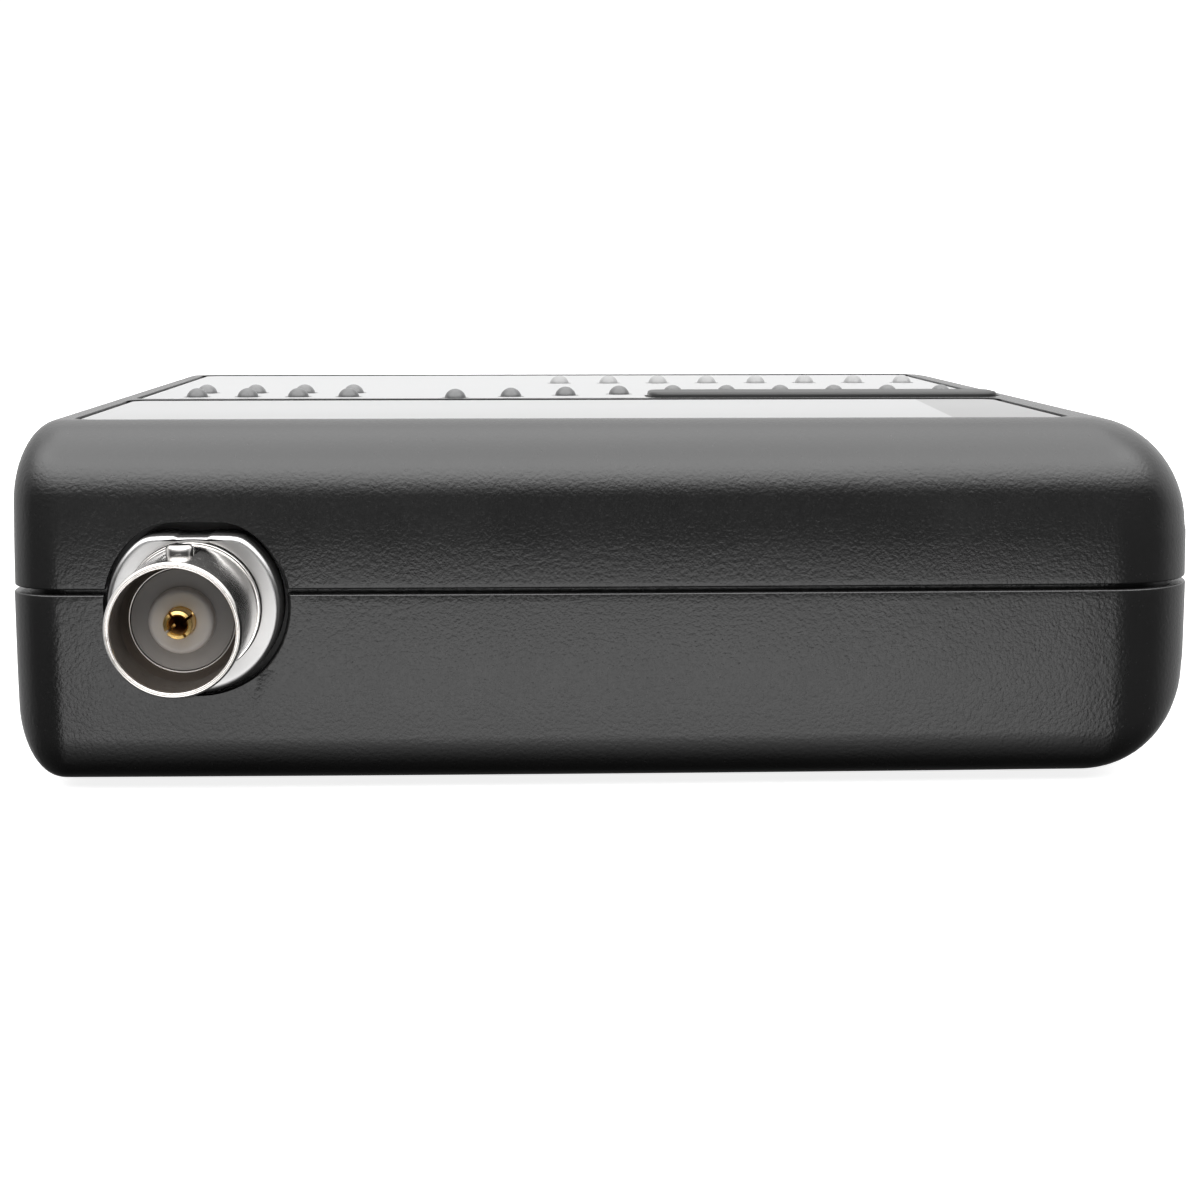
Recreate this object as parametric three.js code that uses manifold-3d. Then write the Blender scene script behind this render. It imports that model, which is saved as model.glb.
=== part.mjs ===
import * as THREE from 'three';
import { mergeVertices } from 'three/addons/utils/BufferGeometryUtils.js';
import Module from 'manifold-3d';

// A compact bench logic analyzer in a two-shell plastic case.
// Millimetres. +Z is up, the trigger jack's end faces -Y, the cable end faces +Y.
// The origin is under the middle of the whole object, on the surface the feet stand on.

const wasm = await Module();
wasm.setup();

// Fits
const touchGap = 0.3;
const slotPlay = 0.6;

// How far a cutter runs past what it cuts, and a reach past the whole case
const overcut = 1;
const caseReach = 200;

// Case
const bodyWidth = 91.1;
const bodyLength = 92;
const bodyHeight = 27.3;
const wall = 2.2;
const partingHeight = 14.7;
const partingGroove = 0.4;
const tongueThickness = 0.9;
const tongueHeight = 1.2;
const leftTopCorner = { across: 3.4, up: 6.1 };
const leftBottomCorner = { across: 3.5, up: 7.8 };
const rightTopCorner = { across: 7.8, up: 7.8 };
const rightBottomCorner = { across: 8.2, up: 8.2 };
const endTopRadius = 5.6;
const endBottomRadius = 3.6;
const leftPlanRadius = 4.2;
const rightPlanRadius = 7.4;
const smallestRadius = 0.6;
const arcSteps = 5;
const roundSides = 16;

// Feet
const footRadius = 4.5;
const footProud = 0.8;
const footSunk = 0.8;
const footAcross = 24;
const footFromEnd = 16;

// Case screws and their bosses
const bossAcross = 35;
const frontBossDepth = 22;
const rearBossFromEnd = 16;
const upperBossRadius = 3.5;
const lowerBossRadius = 4.2;
const screwHeadRadius = 2.8;
const screwHeadHeight = 2;
const screwShaftRadius = 1.45;
const screwSeatHeight = 6.7;
const screwReach = 13.8;
const screwSocketRadius = 1.3;
const screwSocketDepth = 1.2;

// Circuit board
const boardThickness = 1.6;
const boardHeadroom = 2.3;
const boardHalfWidth = 40.2;
const boardEndGap = 0.8;
const boardBossPlay = 0.5;
const boardScrewHeadRadius = 2;
const boardScrewHeadHeight = 1.4;
const boardScrewShaftRadius = 1;
const boardScrewReach = 3.8;
const boardPillarRadius = 2.6;
const frontBoardScrew = { x: 0, depth: 18 };
const rearBoardScrew = { x: -2, depth: 72 };

// Trigger jack (BNC)
const jackAcross = -31.3;
const jackHeight = 13.7;
const jackReach = 12.2;
const barrelRadius = 4.825;
const barrelBoreRadius = 4.1;
const barrelBoreDepth = 8.5;
const barrelRimInset = 0.375;
const barrelRimChamfer = 0.5;
const barrelBandRise = 0.2;
const barrelBandLength = 0.6;
const barrelInside = 9.7;
const lugRadius = 1;
const lugRise = 0.675;
const lugFromRim = 4.8;
const insulatorRadius = 2.35;
const insulatorFromRim = 4.3;
const insulatorFlangeRadius = 3.7;
const insulatorFlangeFromRim = 5.4;
const contactRadius = 1.075;
const contactBoreRadius = 0.675;
const contactBoreDepth = 5;
const contactProud = 1.6;
const contactTail = 2;
const bushingWall = 1.6;
const bushingFlatWall = 0.575;
const bushingProud = 1;
const bushingHoleGap = 0.45;
const bushingFlatGap = 0.9;
const jackBlockMargin = 0.8;
const jackBlockLength = 12;

// Cable end: channel header, USB socket, mode switch, arm button
const socketSetback = 0.6;
const headerAcross = -15;
const headerWidth = 33.2;
const headerHeight = 8.9;
const headerLength = 9.4;
const headerWall = 1.2;
const headerFloor = 2.4;
const headerKeyWidth = 4.5;
const pinPitch = 2.54;
const pinColumns = 10;
const pinSide = 0.64;
const pinFromRim = 1.2;
const pinBendBehind = 1.6;
const usbAcross = 11;
const usbWidth = 12;
const usbHeight = 10.9;
const usbLength = 16;
const usbMouthWidth = 8.45;
const usbMouthHeight = 7.78;
const usbMouthChamfer = 1.6;
const usbMouthDepth = 9;
const usbTongueWidth = 5.6;
const usbTongueHeight = 3.2;
const usbTongueFromRim = 1;
const switchAcross = 24;
const switchWidth = 8.6;
const switchHeight = 4.4;
const switchDepth = 3.6;
const knobWidth = 2.4;
const knobHeight = 2.2;
const knobTravel = 3;
const knobReach = 1.2;
const knobSunk = 2.1;
const buttonAcross = 33;
const buttonDrop = 3.1;
const buttonRadius = 2.3;
const buttonFlangeRadius = 3;
const buttonFlangeThickness = 0.8;
const buttonProud = 1;
const buttonTravel = 0.5;
const buttonChamfer = 0.4;
const tactWidth = 6;
const tactDepth = 4;
const tactHeight = 5.6;

// Top face: nameplate, overlay sheet, light-pipe bezel
const plateThickness = 0.4;
const plateSunk = 0.1;
const plateCornerRadius = 1.5;
const nameplate = { left: -40.9, right: 35.7, near: 6.4, far: 34.4 };
const overlay = { left: -40.9, right: 36.3, near: 36.2, far: 85.6 };
const bezel = { left: 5.1, right: 37.1, near: 37.8, far: 43.4 };
const bezelProud = 0.4;

// Light pipes: rows of clear domes moulded on one bar each
const pipeRadius = 1;
const pipeProud = 0.7;
const pipeBarWidth = 3;
const pipeBarFromBoard = 0.4;
const rowPitch = 5.08;
const rowEnd = 33.1;
const frontRow = { count: 6, depth: 45.4 };
const middleRow = { count: 4, nearDepth: 38 };
const rearRow = { count: 8, depth: 67 };
const leftPitch = 4.6;
const leftEnd = -22.4;
const leftCount = 4;
const leftNearDepth = 41;
const leftFarDepth = 48;
const pipeSides = 8;

// Parts on the underside of the board: x, depth, size across, size along, height
const logicChip = { x: 9, depth: 36, across: 20, along: 20, height: 1.4 };
const usbChip = { x: 11, depth: 64, across: 10, along: 10, height: 1.4 };
const memoryChip = { x: -14, depth: 40, across: 18.4, along: 10, height: 1.2 };
const crystalCan = { x: 25, depth: 62, across: 11, along: 4.6, height: 3.5 };
const regulator = { x: -18, depth: 64, across: 10, along: 9, height: 2.3 };

// Positions that follow from the sizes above
const frontY = (jackReach - knobReach - bodyLength) / 2;
const rearY = frontY + bodyLength;
const baseZ = footProud;
const topZ = baseZ + bodyHeight;
const partingZ = baseZ + partingHeight;
const floorZ = baseZ + wall;
const ceilingZ = topZ - wall;
const jackZ = baseZ + jackHeight;
const boardTopZ = ceilingZ - boardHeadroom;
const boardUnderZ = boardTopZ - boardThickness;
const bushingRadius = barrelRadius + bushingWall;
const bushingFlat = barrelRadius + bushingFlatWall;
const jackBlockHalfWidth = bushingRadius + jackBlockMargin;
const hungZ = boardUnderZ - touchGap;
const recessDepth = plateSunk + plateThickness + touchGap;
const innerFrontY = frontY + wall;
const innerRearY = rearY - wall;
const buttonZ = hungZ - buttonDrop;
const switchZ = hungZ - switchHeight / 2;

// Materials, one per finish
const finishes = {
  shell: { color: 0x1b1c1e, roughness: 0.55, metalness: 0 },
  plate: { color: 0xe9eaeb, roughness: 0.45, metalness: 0 },
  overlay: { color: 0xdfe0e1, roughness: 0.5, metalness: 0 },
  bezel: { color: 0x101012, roughness: 0.5, metalness: 0 },
  rubber: { color: 0x17181a, roughness: 0.9, metalness: 0 },
  nickel: { color: 0xc9c8c4, roughness: 0.25, metalness: 1 },
  dielectric: { color: 0xa59f99, roughness: 0.6, metalness: 0 },
  gold: { color: 0xd9b870, roughness: 0.3, metalness: 1 },
  steel: { color: 0x9a9a9c, roughness: 0.35, metalness: 1 },
  board: { color: 0x1f4f2e, roughness: 0.5, metalness: 0 },
  chip: { color: 0x1a1a1c, roughness: 0.6, metalness: 0 },
  header: { color: 0x161618, roughness: 0.5, metalness: 0 },
  pipe: { color: 0xb4b6b8, roughness: 0.3, metalness: 0 },
  cap: { color: 0xb3b5b8, roughness: 0.45, metalness: 0 },
};

const object = new THREE.Group();

function addPiece(name, geometry, finish) {
  const mesh = new THREE.Mesh(geometry, new THREE.MeshStandardMaterial(finishes[finish]));
  mesh.name = name;
  object.add(mesh);
  return mesh;
}

// Solids: geometry in, geometry out, with joins and cuts between

function signedVolume(positions, triangles) {
  const a = new THREE.Vector3();
  const b = new THREE.Vector3();
  const c = new THREE.Vector3();
  let six = 0;
  for (let i = 0; i < triangles.length; i += 3) {
    a.fromArray(positions, triangles[i] * 3);
    b.fromArray(positions, triangles[i + 1] * 3);
    c.fromArray(positions, triangles[i + 2] * 3);
    six += a.dot(b.cross(c));
  }
  return six / 6;
}

function toSolid(geometry) {
  const bare = geometry.clone();
  bare.deleteAttribute('normal');
  bare.deleteAttribute('uv');
  const merged = mergeVertices(bare, 1e-4);
  const vertProperties = new Float32Array(merged.attributes.position.array);
  const triVerts = new Uint32Array(merged.index.array);
  if (signedVolume(vertProperties, triVerts) < 0) {
    triVerts.reverse();
  }
  return new wasm.Manifold(new wasm.Mesh({ numProp: 3, vertProperties, triVerts }));
}

function toGeometry(solid) {
  const mesh = solid.getMesh();
  const geometry = new THREE.BufferGeometry();
  const corners = new Float32Array(mesh.vertProperties);
  geometry.setAttribute('position', new THREE.BufferAttribute(corners, mesh.numProp));
  geometry.setIndex(new THREE.BufferAttribute(new Uint32Array(mesh.triVerts), 1));
  geometry.computeVertexNormals();
  return geometry;
}

// A block given by its low and high corners
function block(low, high) {
  const size = [high[0] - low[0], high[1] - low[1], high[2] - low[2]];
  const geometry = new THREE.BoxGeometry(size[0], size[1], size[2]);
  geometry.translate(low[0] + size[0] / 2, low[1] + size[1] / 2, low[2] + size[2] / 2);
  return toSolid(geometry);
}

// An upright cylinder from one height to another
function post(x, y, radius, lowZ, highZ, sides = roundSides) {
  const geometry = new THREE.CylinderGeometry(radius, radius, highZ - lowZ, sides);
  geometry.rotateX(Math.PI / 2);
  geometry.translate(x, y, (lowZ + highZ) / 2);
  return toSolid(geometry);
}

// A lying cylinder along Y
function rod(x, z, radius, nearY, farY, sides = roundSides) {
  const geometry = new THREE.CylinderGeometry(radius, radius, farY - nearY, sides);
  geometry.translate(x, (nearY + farY) / 2, z);
  return toSolid(geometry);
}

// A body of revolution about an axis along Y; the profile is [radius, y] pairs
function turned(profile, x, z, sides = roundSides) {
  const points = profile.map(([radius, y]) => new THREE.Vector2(radius, y));
  points.push(points[0].clone());
  const geometry = new THREE.LatheGeometry(points, sides);
  geometry.translate(x, 0, z);
  return toSolid(geometry);
}

// An XZ outline carried along Y
function alongY(shape, nearY, farY) {
  const options = { depth: farY - nearY, bevelEnabled: false, curveSegments: arcSteps };
  const geometry = new THREE.ExtrudeGeometry(shape, options);
  geometry.rotateX(Math.PI / 2);
  geometry.translate(0, farY, 0);
  return toSolid(geometry);
}

// A YZ outline carried along X
function alongX(shape, leftX, rightX) {
  const options = { depth: rightX - leftX, bevelEnabled: false, curveSegments: arcSteps };
  const geometry = new THREE.ExtrudeGeometry(shape, options);
  geometry.rotateX(Math.PI / 2);
  geometry.rotateZ(Math.PI / 2);
  geometry.translate(leftX, 0, 0);
  return toSolid(geometry);
}

// An XY outline carried along Z
function alongZ(shape, lowZ, highZ) {
  const options = { depth: highZ - lowZ, bevelEnabled: false, curveSegments: arcSteps };
  const geometry = new THREE.ExtrudeGeometry(shape, options);
  geometry.translate(0, 0, lowZ);
  return toSolid(geometry);
}

// A rectangle with an elliptical corner of its own at each corner, drawn counter-clockwise
function roundedOutline(left, low, right, high, corners) {
  const shape = new THREE.Shape();
  const { lowLeft, lowRight, highRight, highLeft } = corners;
  const quarter = Math.PI / 2;
  shape.moveTo(left + lowLeft.across, low);
  shape.lineTo(right - lowRight.across, low);
  shape.absellipse(right - lowRight.across, low + lowRight.up,
    lowRight.across, lowRight.up, -quarter, 0, false);
  shape.lineTo(right, high - highRight.up);
  shape.absellipse(right - highRight.across, high - highRight.up,
    highRight.across, highRight.up, 0, quarter, false);
  shape.lineTo(left + highLeft.across, high);
  shape.absellipse(left + highLeft.across, high - highLeft.up,
    highLeft.across, highLeft.up, quarter, Math.PI, false);
  shape.lineTo(left, low + lowLeft.up);
  shape.absellipse(left + lowLeft.across, low + lowLeft.up,
    lowLeft.across, lowLeft.up, Math.PI, Math.PI + quarter, false);
  return shape;
}

function even(radius) {
  return { across: radius, up: radius };
}

function shrunk(corner, inset) {
  return {
    across: Math.max(corner.across - inset, smallestRadius),
    up: Math.max(corner.up - inset, smallestRadius),
  };
}

// The case's outside moved in by an inset: its end view, side view and plan view intersected
function caseSolid(inset) {
  const left = -bodyWidth / 2 + inset;
  const right = bodyWidth / 2 - inset;
  const near = frontY + inset;
  const far = rearY - inset;
  const low = baseZ + inset;
  const high = topZ - inset;
  const endView = roundedOutline(left, low, right, high, {
    lowLeft: shrunk(leftBottomCorner, inset),
    lowRight: shrunk(rightBottomCorner, inset),
    highRight: shrunk(rightTopCorner, inset),
    highLeft: shrunk(leftTopCorner, inset),
  });
  const endTop = shrunk(even(endTopRadius), inset);
  const endBottom = shrunk(even(endBottomRadius), inset);
  const sideView = roundedOutline(near, low, far, high, {
    lowLeft: endBottom,
    lowRight: endBottom,
    highRight: endTop,
    highLeft: endTop,
  });
  const planLeft = shrunk(even(leftPlanRadius), inset);
  const planRight = shrunk(even(rightPlanRadius), inset);
  const planView = roundedOutline(left, near, right, far, {
    lowLeft: planLeft,
    lowRight: planRight,
    highRight: planRight,
    highLeft: planLeft,
  });
  return alongY(endView, near, far)
    .intersect(alongX(sideView, left, right))
    .intersect(alongZ(planView, low, high));
}

function slab(lowZ, highZ) {
  return block([-caseReach, -caseReach, lowZ], [caseReach, caseReach, highZ]);
}

function bossPlaces() {
  const frontBossY = frontY + frontBossDepth;
  const rearBossY = rearY - rearBossFromEnd;
  return [
    [-bossAcross, frontBossY],
    [bossAcross, frontBossY],
    [-bossAcross, rearBossY],
    [bossAcross, rearBossY],
  ];
}

function footPlaces() {
  return [
    [-footAcross, frontY + footFromEnd],
    [footAcross, frontY + footFromEnd],
    [-footAcross, rearY - footFromEnd],
    [footAcross, rearY - footFromEnd],
  ];
}

function boardScrewPlaces() {
  return [frontBoardScrew, rearBoardScrew].map(({ x, depth }) => [x, frontY + depth]);
}

// Places of the light pipes, row by row, as [x, y] pairs
function pipeRows() {
  const straight = (count, end, pitch, depth) => {
    const places = [];
    for (let i = 0; i < count; i += 1) {
      places.push([end - i * pitch, frontY + depth]);
    }
    return places;
  };
  const middle = [];
  const step = (frontRow.depth - middleRow.nearDepth) / middleRow.count;
  for (let i = 0; i < middleRow.count; i += 1) {
    const x = rowEnd - (frontRow.count + i) * rowPitch;
    middle.push([x, frontY + frontRow.depth - (i + 0.5) * step]);
  }
  return {
    light_pipes_front: straight(frontRow.count, rowEnd, rowPitch, frontRow.depth),
    light_pipes_middle: middle,
    light_pipes_rear: straight(rearRow.count, rowEnd, rowPitch, rearRow.depth),
    light_pipes_left_near: straight(leftCount, leftEnd, leftPitch, leftNearDepth),
    light_pipes_left_far: straight(leftCount, leftEnd, leftPitch, leftFarDepth),
  };
}

function platePlan(area, grow) {
  const corner = even(plateCornerRadius + grow);
  return roundedOutline(area.left - grow, frontY + area.near - grow,
    area.right + grow, frontY + area.far + grow, {
      lowLeft: corner,
      lowRight: corner,
      highRight: corner,
      highLeft: corner,
    });
}

function pipeHoles(lowZ, highZ) {
  const holes = [];
  for (const places of Object.values(pipeRows())) {
    for (const [x, y] of places) {
      holes.push(post(x, y, pipeRadius + touchGap, lowZ, highZ, pipeSides));
    }
  }
  return holes;
}

// The jack's threaded bushing: a round with its top cut flat
function flattedRound(radius, flat, nearY, farY) {
  const round = rod(jackAcross, jackZ, radius, nearY, farY, 2 * roundSides);
  const below = block(
    [jackAcross - caseReach, nearY, jackZ - caseReach],
    [jackAcross + caseReach, farY, jackZ + flat],
  );
  return round.intersect(below);
}

// Openings through the two end walls, with the fit around each part
function endOpenings() {
  const cutNear = innerRearY - overcut;
  const cutFar = rearY + overcut;
  const jackHole = flattedRound(
    bushingRadius + bushingHoleGap,
    bushingFlat + bushingFlatGap,
    frontY - overcut,
    innerFrontY + overcut,
  );
  const headerHole = block(
    [headerAcross - headerWidth / 2 - touchGap, cutNear, hungZ - headerHeight - touchGap],
    [headerAcross + headerWidth / 2 + touchGap, cutFar, hungZ + touchGap],
  );
  const usbHole = block(
    [usbAcross - usbWidth / 2 - touchGap, cutNear, hungZ - usbHeight - touchGap],
    [usbAcross + usbWidth / 2 + touchGap, cutFar, hungZ + touchGap],
  );
  const slotHalf = (knobWidth + knobTravel + slotPlay) / 2;
  const switchSlot = block(
    [switchAcross - slotHalf, cutNear, switchZ - knobHeight / 2 - touchGap],
    [switchAcross + slotHalf, cutFar, switchZ + knobHeight / 2 + touchGap],
  );
  const buttonHole = rod(buttonAcross, buttonZ, buttonRadius + touchGap, cutNear, cutFar);
  return [jackHole, headerHole, usbHole, switchSlot, buttonHole];
}

function upperShell() {
  let shell = caseSolid(0)
    .intersect(slab(partingZ + partingGroove / 2, topZ))
    .subtract(caseSolid(wall));
  const rebateTop = partingZ + tongueHeight + touchGap;
  const rebate = caseSolid(wall - tongueThickness - touchGap).intersect(slab(baseZ, rebateTop));
  shell = shell.subtract(rebate);
  for (const [x, y] of bossPlaces()) {
    shell = shell.add(post(x, y, upperBossRadius, partingZ + partingGroove / 2, ceilingZ + overcut));
  }
  for (const [x, y] of boardScrewPlaces()) {
    shell = shell.add(post(x, y, boardPillarRadius, boardTopZ + touchGap, ceilingZ + overcut));
  }
  const pilotTop = baseZ + screwSeatHeight + screwReach + touchGap;
  for (const [x, y] of bossPlaces()) {
    shell = shell.subtract(post(x, y, screwShaftRadius + touchGap, baseZ, pilotTop));
  }
  const pillarBoreTop = hungZ + boardScrewReach + touchGap;
  for (const [x, y] of boardScrewPlaces()) {
    shell = shell.subtract(post(x, y, boardScrewShaftRadius + touchGap, partingZ, pillarBoreTop));
  }
  for (const area of [nameplate, overlay, bezel]) {
    shell = shell.subtract(alongZ(platePlan(area, touchGap), topZ - recessDepth, topZ + overcut));
  }
  for (const cutter of [...pipeHoles(ceilingZ - overcut, topZ + overcut), ...endOpenings()]) {
    shell = shell.subtract(cutter);
  }
  return shell;
}

function lowerShell() {
  let shell = caseSolid(0)
    .intersect(slab(baseZ, partingZ - partingGroove / 2))
    .subtract(caseSolid(wall));
  const tongue = caseSolid(wall - tongueThickness)
    .intersect(slab(partingZ - wall, partingZ + tongueHeight))
    .subtract(caseSolid(wall));
  shell = shell.add(tongue);
  for (const [x, y] of bossPlaces()) {
    shell = shell.add(post(x, y, lowerBossRadius, floorZ - overcut, partingZ - partingGroove / 2));
  }
  const seatZ = baseZ + screwSeatHeight + touchGap;
  for (const [x, y] of bossPlaces()) {
    shell = shell.subtract(post(x, y, screwHeadRadius + touchGap, baseZ - overcut, seatZ));
    shell = shell.subtract(post(x, y, screwShaftRadius + touchGap, baseZ, topZ));
  }
  for (const [x, y] of footPlaces()) {
    shell = shell.subtract(
      post(x, y, footRadius + touchGap, baseZ - overcut, baseZ + footSunk + touchGap),
    );
  }
  for (const cutter of endOpenings()) {
    shell = shell.subtract(cutter);
  }
  return shell;
}

function topPlate(area) {
  return alongZ(platePlan(area, 0), topZ - plateSunk - plateThickness, topZ - plateSunk);
}

function overlaySheet() {
  let sheet = topPlate(overlay);
  sheet = sheet.subtract(alongZ(platePlan(bezel, touchGap), ceilingZ, topZ + overcut));
  for (const hole of pipeHoles(ceilingZ, topZ + overcut)) {
    sheet = sheet.subtract(hole);
  }
  return sheet;
}

function bezelPlate() {
  let plate = alongZ(platePlan(bezel, 0), topZ - plateSunk - plateThickness, topZ + bezelProud);
  for (const hole of pipeHoles(ceilingZ, topZ + overcut)) {
    plate = plate.subtract(hole);
  }
  return plate;
}

// One bar under the top wall with a domed stem for each light
function pipeComb(places) {
  const barTop = ceilingZ - touchGap;
  const barLow = boardTopZ + pipeBarFromBoard;
  const barMiddle = (barTop + barLow) / 2;
  const first = places[0];
  const last = places[places.length - 1];
  const span = Math.hypot(last[0] - first[0], last[1] - first[1]);
  const bar = new THREE.BoxGeometry(span + pipeBarWidth, pipeBarWidth, barTop - barLow);
  bar.rotateZ(Math.atan2(last[1] - first[1], last[0] - first[0]));
  bar.translate((first[0] + last[0]) / 2, (first[1] + last[1]) / 2, barMiddle);
  let comb = toSolid(bar);
  const shoulder = topZ - pipeRadius + pipeProud;
  const profile = [new THREE.Vector2(0, barMiddle), new THREE.Vector2(pipeRadius, barMiddle)];
  const domeSteps = 3;
  for (let i = 0; i <= domeSteps; i += 1) {
    const turn = (i / domeSteps) * (Math.PI / 2);
    profile.push(new THREE.Vector2(
      i === domeSteps ? 0 : pipeRadius * Math.cos(turn),
      shoulder + pipeRadius * Math.sin(turn),
    ));
  }
  for (const [x, y] of places) {
    const stem = new THREE.LatheGeometry(profile, pipeSides);
    stem.rotateX(Math.PI / 2);
    stem.translate(x, y, 0);
    comb = comb.add(toSolid(stem));
  }
  return comb;
}

function boardSolid() {
  let board = block(
    [-boardHalfWidth, innerFrontY + boardEndGap, boardUnderZ],
    [boardHalfWidth, innerRearY - boardEndGap, boardTopZ],
  );
  for (const [x, y] of bossPlaces()) {
    const radius = upperBossRadius + boardBossPlay;
    board = board.subtract(post(x, y, radius, boardUnderZ - overcut, boardTopZ + overcut));
  }
  for (const [x, y] of boardScrewPlaces()) {
    const radius = boardScrewShaftRadius + touchGap;
    board = board.subtract(post(x, y, radius, boardUnderZ - overcut, boardTopZ + overcut));
  }
  return board;
}

// A flat-topped screw standing up from its head, with a round driver recess below
function screwSolid(x, y, headLow, head, shaft) {
  return post(x, y, head.radius, headLow, headLow + head.height)
    .add(post(x, y, shaft.radius, headLow + head.height / 2, headLow + head.height + shaft.length))
    .subtract(post(x, y, head.socket, headLow - overcut, headLow + head.socketDepth));
}

function caseScrew([x, y]) {
  const headLow = baseZ + screwSeatHeight - screwHeadHeight;
  const head = {
    radius: screwHeadRadius,
    height: screwHeadHeight,
    socket: screwSocketRadius,
    socketDepth: screwSocketDepth,
  };
  return screwSolid(x, y, headLow, head, { radius: screwShaftRadius, length: screwReach });
}

function boardScrew([x, y]) {
  const headLow = hungZ - boardScrewHeadHeight;
  const head = {
    radius: boardScrewHeadRadius,
    height: boardScrewHeadHeight,
    socket: boardScrewShaftRadius,
    socketDepth: boardScrewHeadHeight / 2,
  };
  return screwSolid(x, y, headLow, head, {
    radius: boardScrewShaftRadius,
    length: boardScrewReach,
  });
}

// Moulded block under the board with the threaded bushing that fills the wall's hole
function jackHousing() {
  const near = innerFrontY + touchGap;
  const far = near + jackBlockLength;
  const body = block(
    [jackAcross - jackBlockHalfWidth, near, jackZ - jackBlockHalfWidth],
    [jackAcross + jackBlockHalfWidth, far, hungZ],
  );
  const bushing = flattedRound(bushingRadius, bushingFlat, frontY - bushingProud, near + overcut);
  const bore = rod(jackAcross, jackZ, barrelRadius + touchGap,
    frontY - bushingProud - overcut, frontY + barrelInside + touchGap, 2 * roundSides);
  const tail = rod(jackAcross, jackZ, insulatorRadius + touchGap, frontY, far + overcut);
  return body.add(bushing).subtract(bore).subtract(tail);
}

function jackBarrel() {
  const rimY = frontY - jackReach;
  const bandFar = frontY - bushingProud - touchGap;
  const bandNear = bandFar - barrelBandLength;
  const profile = [
    [barrelBoreRadius, rimY],
    [barrelRadius - barrelRimInset, rimY],
    [barrelRadius, rimY + barrelRimChamfer],
    [barrelRadius, bandNear],
    [barrelRadius + barrelBandRise, bandNear],
    [barrelRadius + barrelBandRise, bandFar],
    [barrelRadius, bandFar],
    [barrelRadius, frontY + barrelInside],
    [insulatorRadius + touchGap, frontY + barrelInside],
    [insulatorRadius + touchGap, rimY + barrelBoreDepth],
    [barrelBoreRadius, rimY + barrelBoreDepth],
  ];
  let barrel = turned(profile, jackAcross, jackZ, 2 * roundSides);
  const rootRadius = (barrelRadius + barrelBoreRadius) / 2;
  const lugY = rimY + lugFromRim;
  const lugTip = barrelRadius + lugRise;
  barrel = barrel.add(post(jackAcross, lugY, lugRadius, jackZ + rootRadius, jackZ + lugTip));
  return barrel.add(post(jackAcross, lugY, lugRadius, jackZ - lugTip, jackZ - rootRadius));
}

function jackInsulator() {
  const rimY = frontY - jackReach;
  const near = rimY + insulatorFromRim;
  const flangeNear = rimY + insulatorFlangeFromRim;
  const flangeFar = rimY + barrelBoreDepth - touchGap;
  const far = innerFrontY + jackBlockLength;
  const profile = [
    [contactRadius + touchGap, near],
    [insulatorRadius, near],
    [insulatorRadius, flangeNear],
    [insulatorFlangeRadius, flangeNear],
    [insulatorFlangeRadius, flangeFar],
    [insulatorRadius, flangeFar],
    [insulatorRadius, far],
    [contactRadius + touchGap, far],
  ];
  return turned(profile, jackAcross, jackZ);
}

function jackContact() {
  const near = frontY - jackReach + insulatorFromRim - contactProud;
  const far = innerFrontY + jackBlockLength + contactTail;
  return rod(jackAcross, jackZ, contactRadius, near, far)
    .subtract(rod(jackAcross, jackZ, contactBoreRadius, near - overcut, near + contactBoreDepth));
}

// Positions of the header's pins across and up, measured from the shroud's middle
function pinPlaces() {
  const places = [];
  for (const row of [-1, 1]) {
    for (let column = 0; column < pinColumns; column += 1) {
      const x = headerAcross + (column - (pinColumns - 1) / 2) * pinPitch;
      const z = hungZ - headerHeight / 2 + (row * pinPitch) / 2;
      places.push({ x, z, row });
    }
  }
  return places;
}

function channelHeader() {
  const far = rearY - socketSetback;
  const near = far - headerLength;
  const low = hungZ - headerHeight;
  const left = headerAcross - headerWidth / 2;
  const right = headerAcross + headerWidth / 2;
  let shroud = block([left, near, low], [right, far, hungZ]);
  shroud = shroud.subtract(block(
    [left + headerWall, near + headerFloor, low + headerWall],
    [right - headerWall, far + overcut, hungZ - headerWall],
  ));
  shroud = shroud.subtract(block(
    [headerAcross - headerKeyWidth / 2, near + headerFloor, low - overcut],
    [headerAcross + headerKeyWidth / 2, far + overcut, low + headerWall + overcut],
  ));
  const half = pinSide / 2 + touchGap;
  for (const { x, z } of pinPlaces()) {
    shroud = shroud.subtract(block(
      [x - half, near - overcut, z - half],
      [x + half, near + headerFloor + overcut, z + half],
    ));
  }
  return shroud;
}

// A square pin bent up to the board; the lower row bends one pitch further back
function headerPin({ x, z, row }) {
  const shroudBack = rearY - socketSetback - headerLength;
  const tip = rearY - socketSetback - pinFromRim;
  const legFar = shroudBack - pinBendBehind - (row < 0 ? pinPitch : 0);
  const legNear = legFar - pinSide;
  const low = z - pinSide / 2;
  const outline = new THREE.Shape();
  outline.moveTo(legNear, low);
  outline.lineTo(tip, low);
  outline.lineTo(tip, low + pinSide);
  outline.lineTo(legFar, low + pinSide);
  outline.lineTo(legFar, hungZ);
  outline.lineTo(legNear, hungZ);
  return alongX(outline, x - pinSide / 2, x + pinSide / 2);
}

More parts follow.
